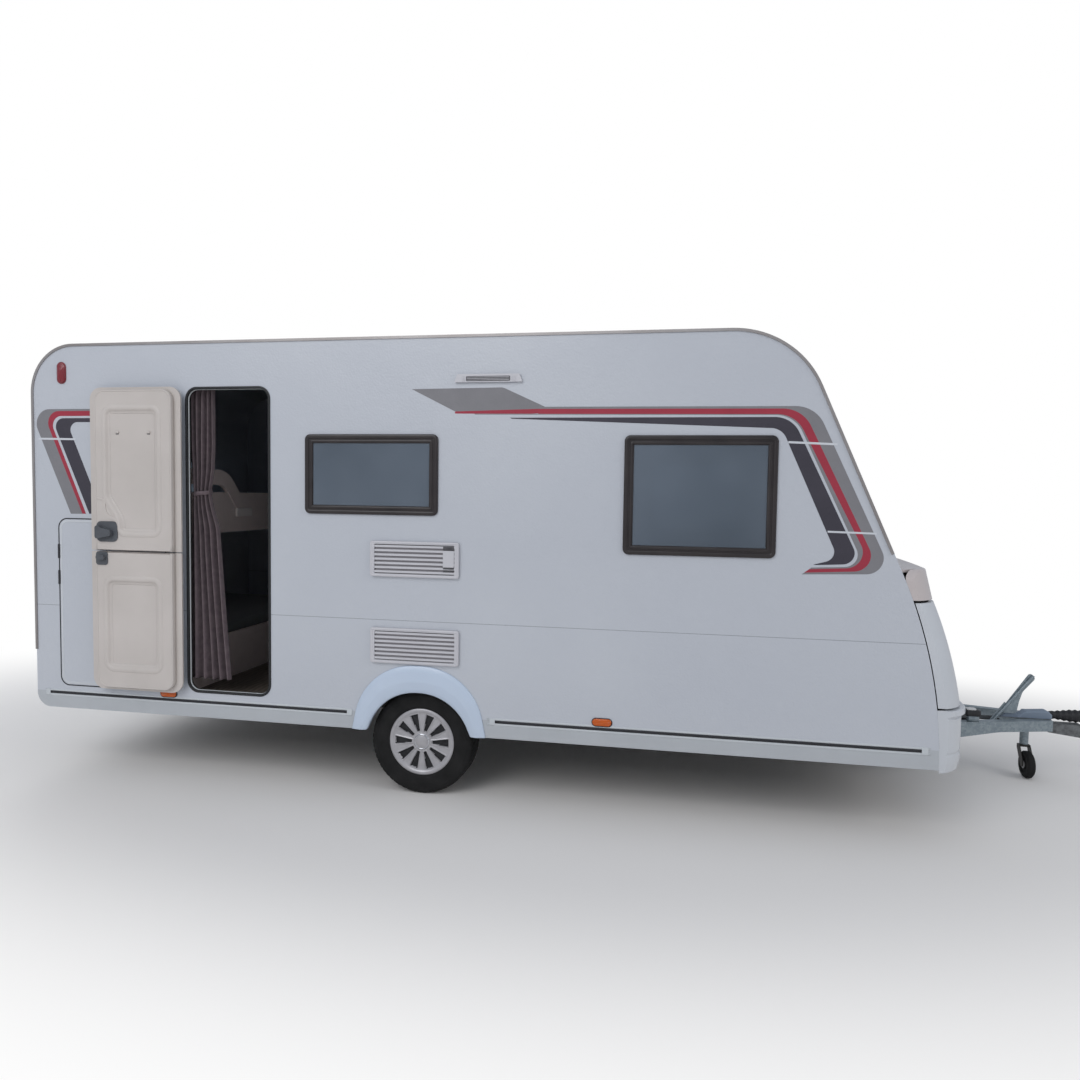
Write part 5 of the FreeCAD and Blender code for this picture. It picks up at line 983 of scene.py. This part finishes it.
def wheel_trim(word, side):
    """A dished disc: heights over its back by radius, less the slots, plus a rib along each slot."""
    r = np.concatenate([np.linspace(0, 0.034, 6), np.linspace(0.0352, 0.0448, 9),
                        np.linspace(0.047, 0.160, 56), np.linspace(0.162, 0.186, 14)])[:, None]
    turn = np.linspace(0, 2 * math.pi, SPOKES * 40 + 1)[:-1][None]
    base = np.interp(r, [0, 0.020, 0.033, 0.0355, 0.037, 0.040, 0.043, 0.046, 0.060, 0.150, 0.160, 0.169,
                         0.176, 0.182, 0.186],
                     [0.0185, 0.0178, 0.0155, 0.0140, 0.0170, 0.0185, 0.0165, 0.0130, 0.0122, 0.0140, 0.0152,
                      0.0200, 0.0207, 0.0188, 0.0150])
    inside = slot_reach(r, turn)
    spoke = ease((r - 0.048) / 0.010) * ease((0.160 - r) / 0.008)
    rib = 0.0026 * np.exp(-((inside + 0.0038) / 0.0024) ** 2) * spoke
    groove = 0.0012 * ease((-inside - 0.0075) / 0.002) * spoke
    height = base + rib - groove
    height = height - (height - 0.0012) * ease(inside / 0.0022 + 0.4)
    back = np.array([[0.1725, 0.0086], [0.170, 0.0002], [0.0, 0.0002]])
    radius = np.concatenate([np.broadcast_to(r, height.shape), np.repeat(back[:, :1], height.shape[1], 1)])
    height = np.concatenate([height, np.repeat(back[:, 1:], height.shape[1], 1)]) + 0.0636
    piece = turned_shell(f"wheel_trim_disc_{word}", radius, height, side, f"wheel_{word}", trim_silver)
    paint_faces(piece, trim_shadow, lambda radius, turn: slot_reach(radius, turn) > 0.0004)
    paint_faces(piece, trim_chrome, lambda radius, turn: np.abs(radius - 0.0402) < 0.0032)
    return piece


for word, side in SIDES:
    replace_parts(tyre(word, side), f"tyre_{word}")
    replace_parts(wheel_trim(word, side), f"wheel_trim_{word}")


# The running gear under the floor and the drawbar before it: hot-dip galvanised steel with its
# spangle, and the brake rod, the handbrake's bar and the plug holder.
galvanised = new_material("galvanised", (0.27, 0.315, 0.345), 0.46, 0.6)
tree, shader, place = tree_of(galvanised)
spangle = add(tree, "TexVoronoi", {"Vector": place, "Scale": 85})
tint(tree, shader, spangle.outputs["Color"], (0.235, 0.28, 0.31), (0.31, 0.36, 0.385), 0.2, 0.8)
relief(tree, shader, noise(tree, place, 160.0, 4.0), 0.0003, 0.5)
finish_node(galvanised, "chassis_rails", "cross_members", "drawbar", "axle", "handbrake_lever",
            "jockey_clamp", "jockey_tube", "steady_brackets", "steady_rear_right",
            "steady_rear_left", "steady_front_right", "steady_front_left")
housing_paint = surface("housing_paint", (0.14, 0.15, 0.155), 0.6, 0.3,
                        grain=(45.0, 6.0, (0.085, 0.088, 0.09), (0.20, 0.21, 0.215)))
tree, shader, place = tree_of(housing_paint)
# A lighter, bluish band at one height is a painted reflection of the sky on the upper part of the housing;
# the coupling head takes it too.
darken(tree, shader, line_mask(tree, place, "Z", 0.040, 0.051), (0.225, 0.275, 0.345))
relief(tree, shader, noise(tree, place, 300.0, 4.0), 0.0003, 0.6)
finish_node(housing_paint, "overrun_housing", "coupling_head")
fork_black = surface("fork_black", (0.018, 0.017, 0.016), 0.5,
                     grain=(60.0, 5.0, (0.013, 0.012, 0.011), (0.040, 0.034, 0.028)),
                     bumps=((200.0, 3.0, 0.0002, 0.5),))
finish_node(fork_black, "jockey_fork")
hub_grey = moulding("hub_grey", (0.30, 0.30, 0.30), (0.24, 0.24, 0.24), 0.45)
tube("jockey_hub_cap", np.linspace((3.4337, -0.026, 0.080), (3.4803, -0.026, 0.080), 3), 0.0245,
     "jockey_wheel", hub_grey, 24)
# The brake rod and its tube are real parts, but their very dark colour is partly painted shade: it fills the
# shaded gap between the drawbar members.
rod_steel_painted_shade = surface("rod_steel_painted_shade", (0.055, 0.062, 0.068), 0.55, 0.3,
                    grain=(30.0, 5.0, (0.040, 0.046, 0.050), (0.085, 0.09, 0.095)))
for name, start, end, count, radius, metal in (
        ("lever_bar", (3.211, -0.0795, 0.311), (3.449, -0.0795, 0.631), 9, 0.0085, galvanised),
        ("lever_spring", (3.288, -0.052, 0.372), (3.306, -0.052, 0.398), 4, 0.0055, galvanised),
        ("lever_stop", (3.332, -0.050, 0.372), (3.352, -0.050, 0.396), 4, 0.0065, galvanised),
        ("brake_rod", (0.150, 0.0, 0.332), (3.300, 0.0, 0.340), 12, 0.0075, rod_steel_painted_shade),
        ("brake_tube", (2.300, 0.034, 0.330), (3.290, 0.034, 0.338), 8, 0.0130, rod_steel_painted_shade)):
    tube(name, np.linspace(start, end, count), radius, "caravan", metal)
tube("cable_loom", [(2.640, -0.235, 0.372), (2.900, -0.197, 0.374), (3.036, -0.175, 0.373),
                    (3.110, -0.163, 0.3705)], 0.009, "caravan", lamp_black)
HOLDER_Y = -0.204
pad_on("plug_holder_foot", "roof", (3.086, HOLDER_Y, 0.3695), (0.060, 0.040), 0.006, 0.038, 0.002, "caravan",
       galvanised)
pad_on("plug_holder", "roof", (3.083, HOLDER_Y, 0.404), (0.082, 0.052), 0.012, 0.032, 0.004, "caravan",
       lamp_black)
pad_on("plug_holder_cap", "roof", (3.073, HOLDER_Y, 0.4385), (0.052, 0.044), 0.010, 0.007, 0.003, "caravan",
       plate_white)
bellows_rubber = surface("bellows_rubber", (0.010, 0.010, 0.013), 0.55, bumps=((400.0, 3.0, 0.0002, 1.0),))
finish_node(bellows_rubber, "bellows")


# The inside: floor, bunks, kitchen and seats, dim behind the doorway and the panes.
floor_ply = new_material("floor_ply", (0.10, 0.085, 0.07), 0.6)
tree, shader, place = tree_of(floor_ply)
grain = add(tree, "TexWave", {"Vector": place, "Scale": 9, "Distortion": 6})
tint(tree, shader, grain.outputs["Fac"], (0.08, 0.065, 0.052), (0.13, 0.108, 0.088))
finish_node(floor_ply, "floor_panel", "locker_bulkhead")
board = new_material("furniture_board", (0.24, 0.20, 0.185), 0.45)
tree, shader, place = tree_of(board)
grain = add(tree, "TexWave", {"Vector": place, "Scale": 16, "Distortion": 5, "Detail": 3},
            bands_direction="Z")
tint(tree, shader, grain.outputs["Fac"], (0.175, 0.155, 0.145), (0.22, 0.195, 0.185))
finish_node(board, "kitchen_unit", "seats")
bunk_board = surface("bunk_board", (0.76, 0.65, 0.61), 0.5,
                     grain=(6.0, 5.0, (0.72, 0.61, 0.575), (0.80, 0.68, 0.64)),
                     bumps=((300.0, 3.0, 0.0001, 0.4),))
finish_node(bunk_board, "bunks")
bracket_cream = moulding("bracket_cream", (0.92, 0.84, 0.80), (0.88, 0.80, 0.76))
pad_on("guard_bracket", "front", (-1.4185, -0.510, 1.5215), (0.180, 0.054), 0.012, 0.012, 0.002, "caravan",
       bracket_cream)
cover_cloth = surface("cover_cloth", (0.11, 0.12, 0.12), 0.85, Sheen_Weight=0.3,
                      bumps=((900.0, 3.0, 0.0004, 1.0),))
finish_node(cover_cloth, "mattresses")
MATTRESSES = (("upper_mattress", 1.5206), ("lower_mattress", 0.7806))


def mattress(name, middle_z):
    """A slab: x and y go as the sine of u and v, half its thickness as the rim distance ** 0.35."""
    u = np.linspace(-1, 1, 60)[:, None]
    v = np.linspace(-1, 1, 120)[None]
    x = -1.8917 + 0.447 * np.sin(u * math.pi / 2) * np.ones_like(v)
    y = -0.172 + 0.930 * np.sin(v * math.pi / 2) * np.ones_like(u)
    rim = np.minimum(1 - np.abs(u), 1 - np.abs(v) + 0 * u)
    thick = 0.036 * np.clip(rim * 9, 0, 1) ** 0.35
    top = np.stack([x, y, middle_z + thick], -1)
    under = np.stack([x, y, middle_z - thick], -1)
    count = top.shape[0] * top.shape[1]
    faces = np.array(grid_faces(60, 120))
    faces = np.concatenate([faces, faces[:, ::-1] + count]).tolist()
    return mesh_piece(name, placed(np.concatenate([top.reshape(-1, 3), under.reshape(-1, 3)])), faces,
                      "caravan", cover_cloth)


def puffed(piece, voxel, cap):
    """Cloth under pressure: the piece is remeshed, swells for 20 frames and moves no more than cap."""
    scene = bpy.context.scene
    bpy.context.view_layer.objects.active = piece
    remesh = piece.modifiers.new("remesh", "REMESH")
    remesh.mode = "VOXEL"
    remesh.voxel_size = voxel
    bpy.ops.object.modifier_apply(modifier="remesh")
    start = np.empty(3 * len(piece.data.vertices))
    piece.data.vertices.foreach_get("co", start)
    cloth = piece.modifiers.new("swell", "CLOTH")
    cloth.settings.use_pressure = True
    cloth.settings.uniform_pressure_force = 4
    cloth.settings.effector_weights.gravity = 0
    for number in range(1, 21):
        scene.frame_set(number)
    graph = bpy.context.evaluated_depsgraph_get()
    swollen = np.empty_like(start)
    piece.evaluated_get(graph).data.vertices.foreach_get("co", swollen)
    piece.modifiers.clear()
    scene.frame_set(1)
    move = (swollen - start).reshape(-1, 3)
    length = np.linalg.norm(move, axis=1)[:, None]
    move *= np.minimum(1, cap / np.maximum(length, 1e-9))
    piece.data.vertices.foreach_set("co", (start.reshape(-1, 3) + move).ravel())
    piece.data.polygons.foreach_set("use_smooth", [True] * len(piece.data.polygons))


pads = [mattress(name, z) for name, z in MATTRESSES]
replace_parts(pads[0], "mattresses")
for piece in pads:
    puffed(piece, 0.012, 0.006)


# The curtain: one cloth on a track inside the doorway, drawn to its rear side and gathered in
# by a band at shoulder height, so its folds are close there and open towards the hem.
curtain_cloth = surface("curtain_cloth", (0.15, 0.112, 0.124), 0.9, Sheen_Weight=0.2,
                        grain=(30.0, 5.0, (0.108, 0.080, 0.089), (0.160, 0.120, 0.132)))
tree, shader, place = tree_of(curtain_cloth)
weave = add(tree, "TexWave", {"Vector": place, "Scale": 260})
relief(tree, shader, weave.outputs["Fac"], 0.0002, 0.4)
CURTAIN_CUT = 0.56
CURTAIN_FOLDS = 5


def curtain():
    """Folds are a sine of fixed cut width: in each row the depth is solved for that length.

    The two edges follow the drop; x = left + (right - left) * u and y = middle + depth * sin(10 pi u).
    """
    z = np.linspace(2.233, 0.568, 150)
    left = np.interp(-z, [-2.236, -1.90, -1.75, -1.64, -1.56, -1.44, -1.30, -0.565],
                     [-1.403, -1.402, -1.393, -1.384, -1.390, -1.398, -1.401, -1.404])
    right = np.interp(-z, [-2.236, -1.90, -1.77, -1.68, -1.64, -1.56, -1.44, -0.90, -0.565],
                      [-1.246, -1.246, -1.252, -1.268, -1.273, -1.258, -1.220, -1.180, -1.152])
    for edge in (left, right):
        edge[2:-2] = np.convolve(edge, np.full(5, 0.2), "valid")
    u = np.linspace(0, 1, 241)[None]
    width = (right - left)[:, None]
    wander = 0.035 * np.sin(3.1 * z[:, None] + 5 * u) * np.sin(math.pi * u)
    wave = np.sin(2 * math.pi * CURTAIN_FOLDS * (u + wander))
    low, high = np.zeros_like(width), np.full_like(width, 0.05)
    for _ in range(24):
        depth = (low + high) / 2
        steps = np.hypot(width / 240, np.diff(depth * wave, axis=1))
        over = steps.sum(1, keepdims=True) > CURTAIN_CUT
        high, low = np.where(over, depth, high), np.where(over, low, depth)
    depth = np.minimum((low + high) / 2, 0.0236)
    x = left[:, None] + width * u
    y = -1.077 + depth * wave
    points = np.stack([x, y, np.repeat(z[:, None], 241, 1)], -1)
    return mesh_piece("curtain_cloth", placed(points), grid_faces(150, 241), "caravan", curtain_cloth)


drape = curtain()
solidify = drape.modifiers.new("cloth", "SOLIDIFY")
solidify.thickness = 0.0011
solidify.offset = 0
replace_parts(drape, "curtain")
turn = np.linspace(0, 2 * math.pi, 61)[:-1]
loop = np.stack([-1.3285 + 0.0575 * np.sign(np.cos(turn)) * np.abs(np.cos(turn)) ** 0.7,
                 -1.077 + 0.0240 * np.sign(np.sin(turn)) * np.abs(np.sin(turn)) ** 0.7,
                 1.640 + 0.006 * np.cos(turn)], 1)
carried("curtain_band", placed(loop),
        [(-0.0008, -0.011), (0.0008, -0.011), (0.0008, 0.011), (-0.0008, 0.011)], "caravan", curtain_cloth,
        normal=(0, 0, 1), closed=True)
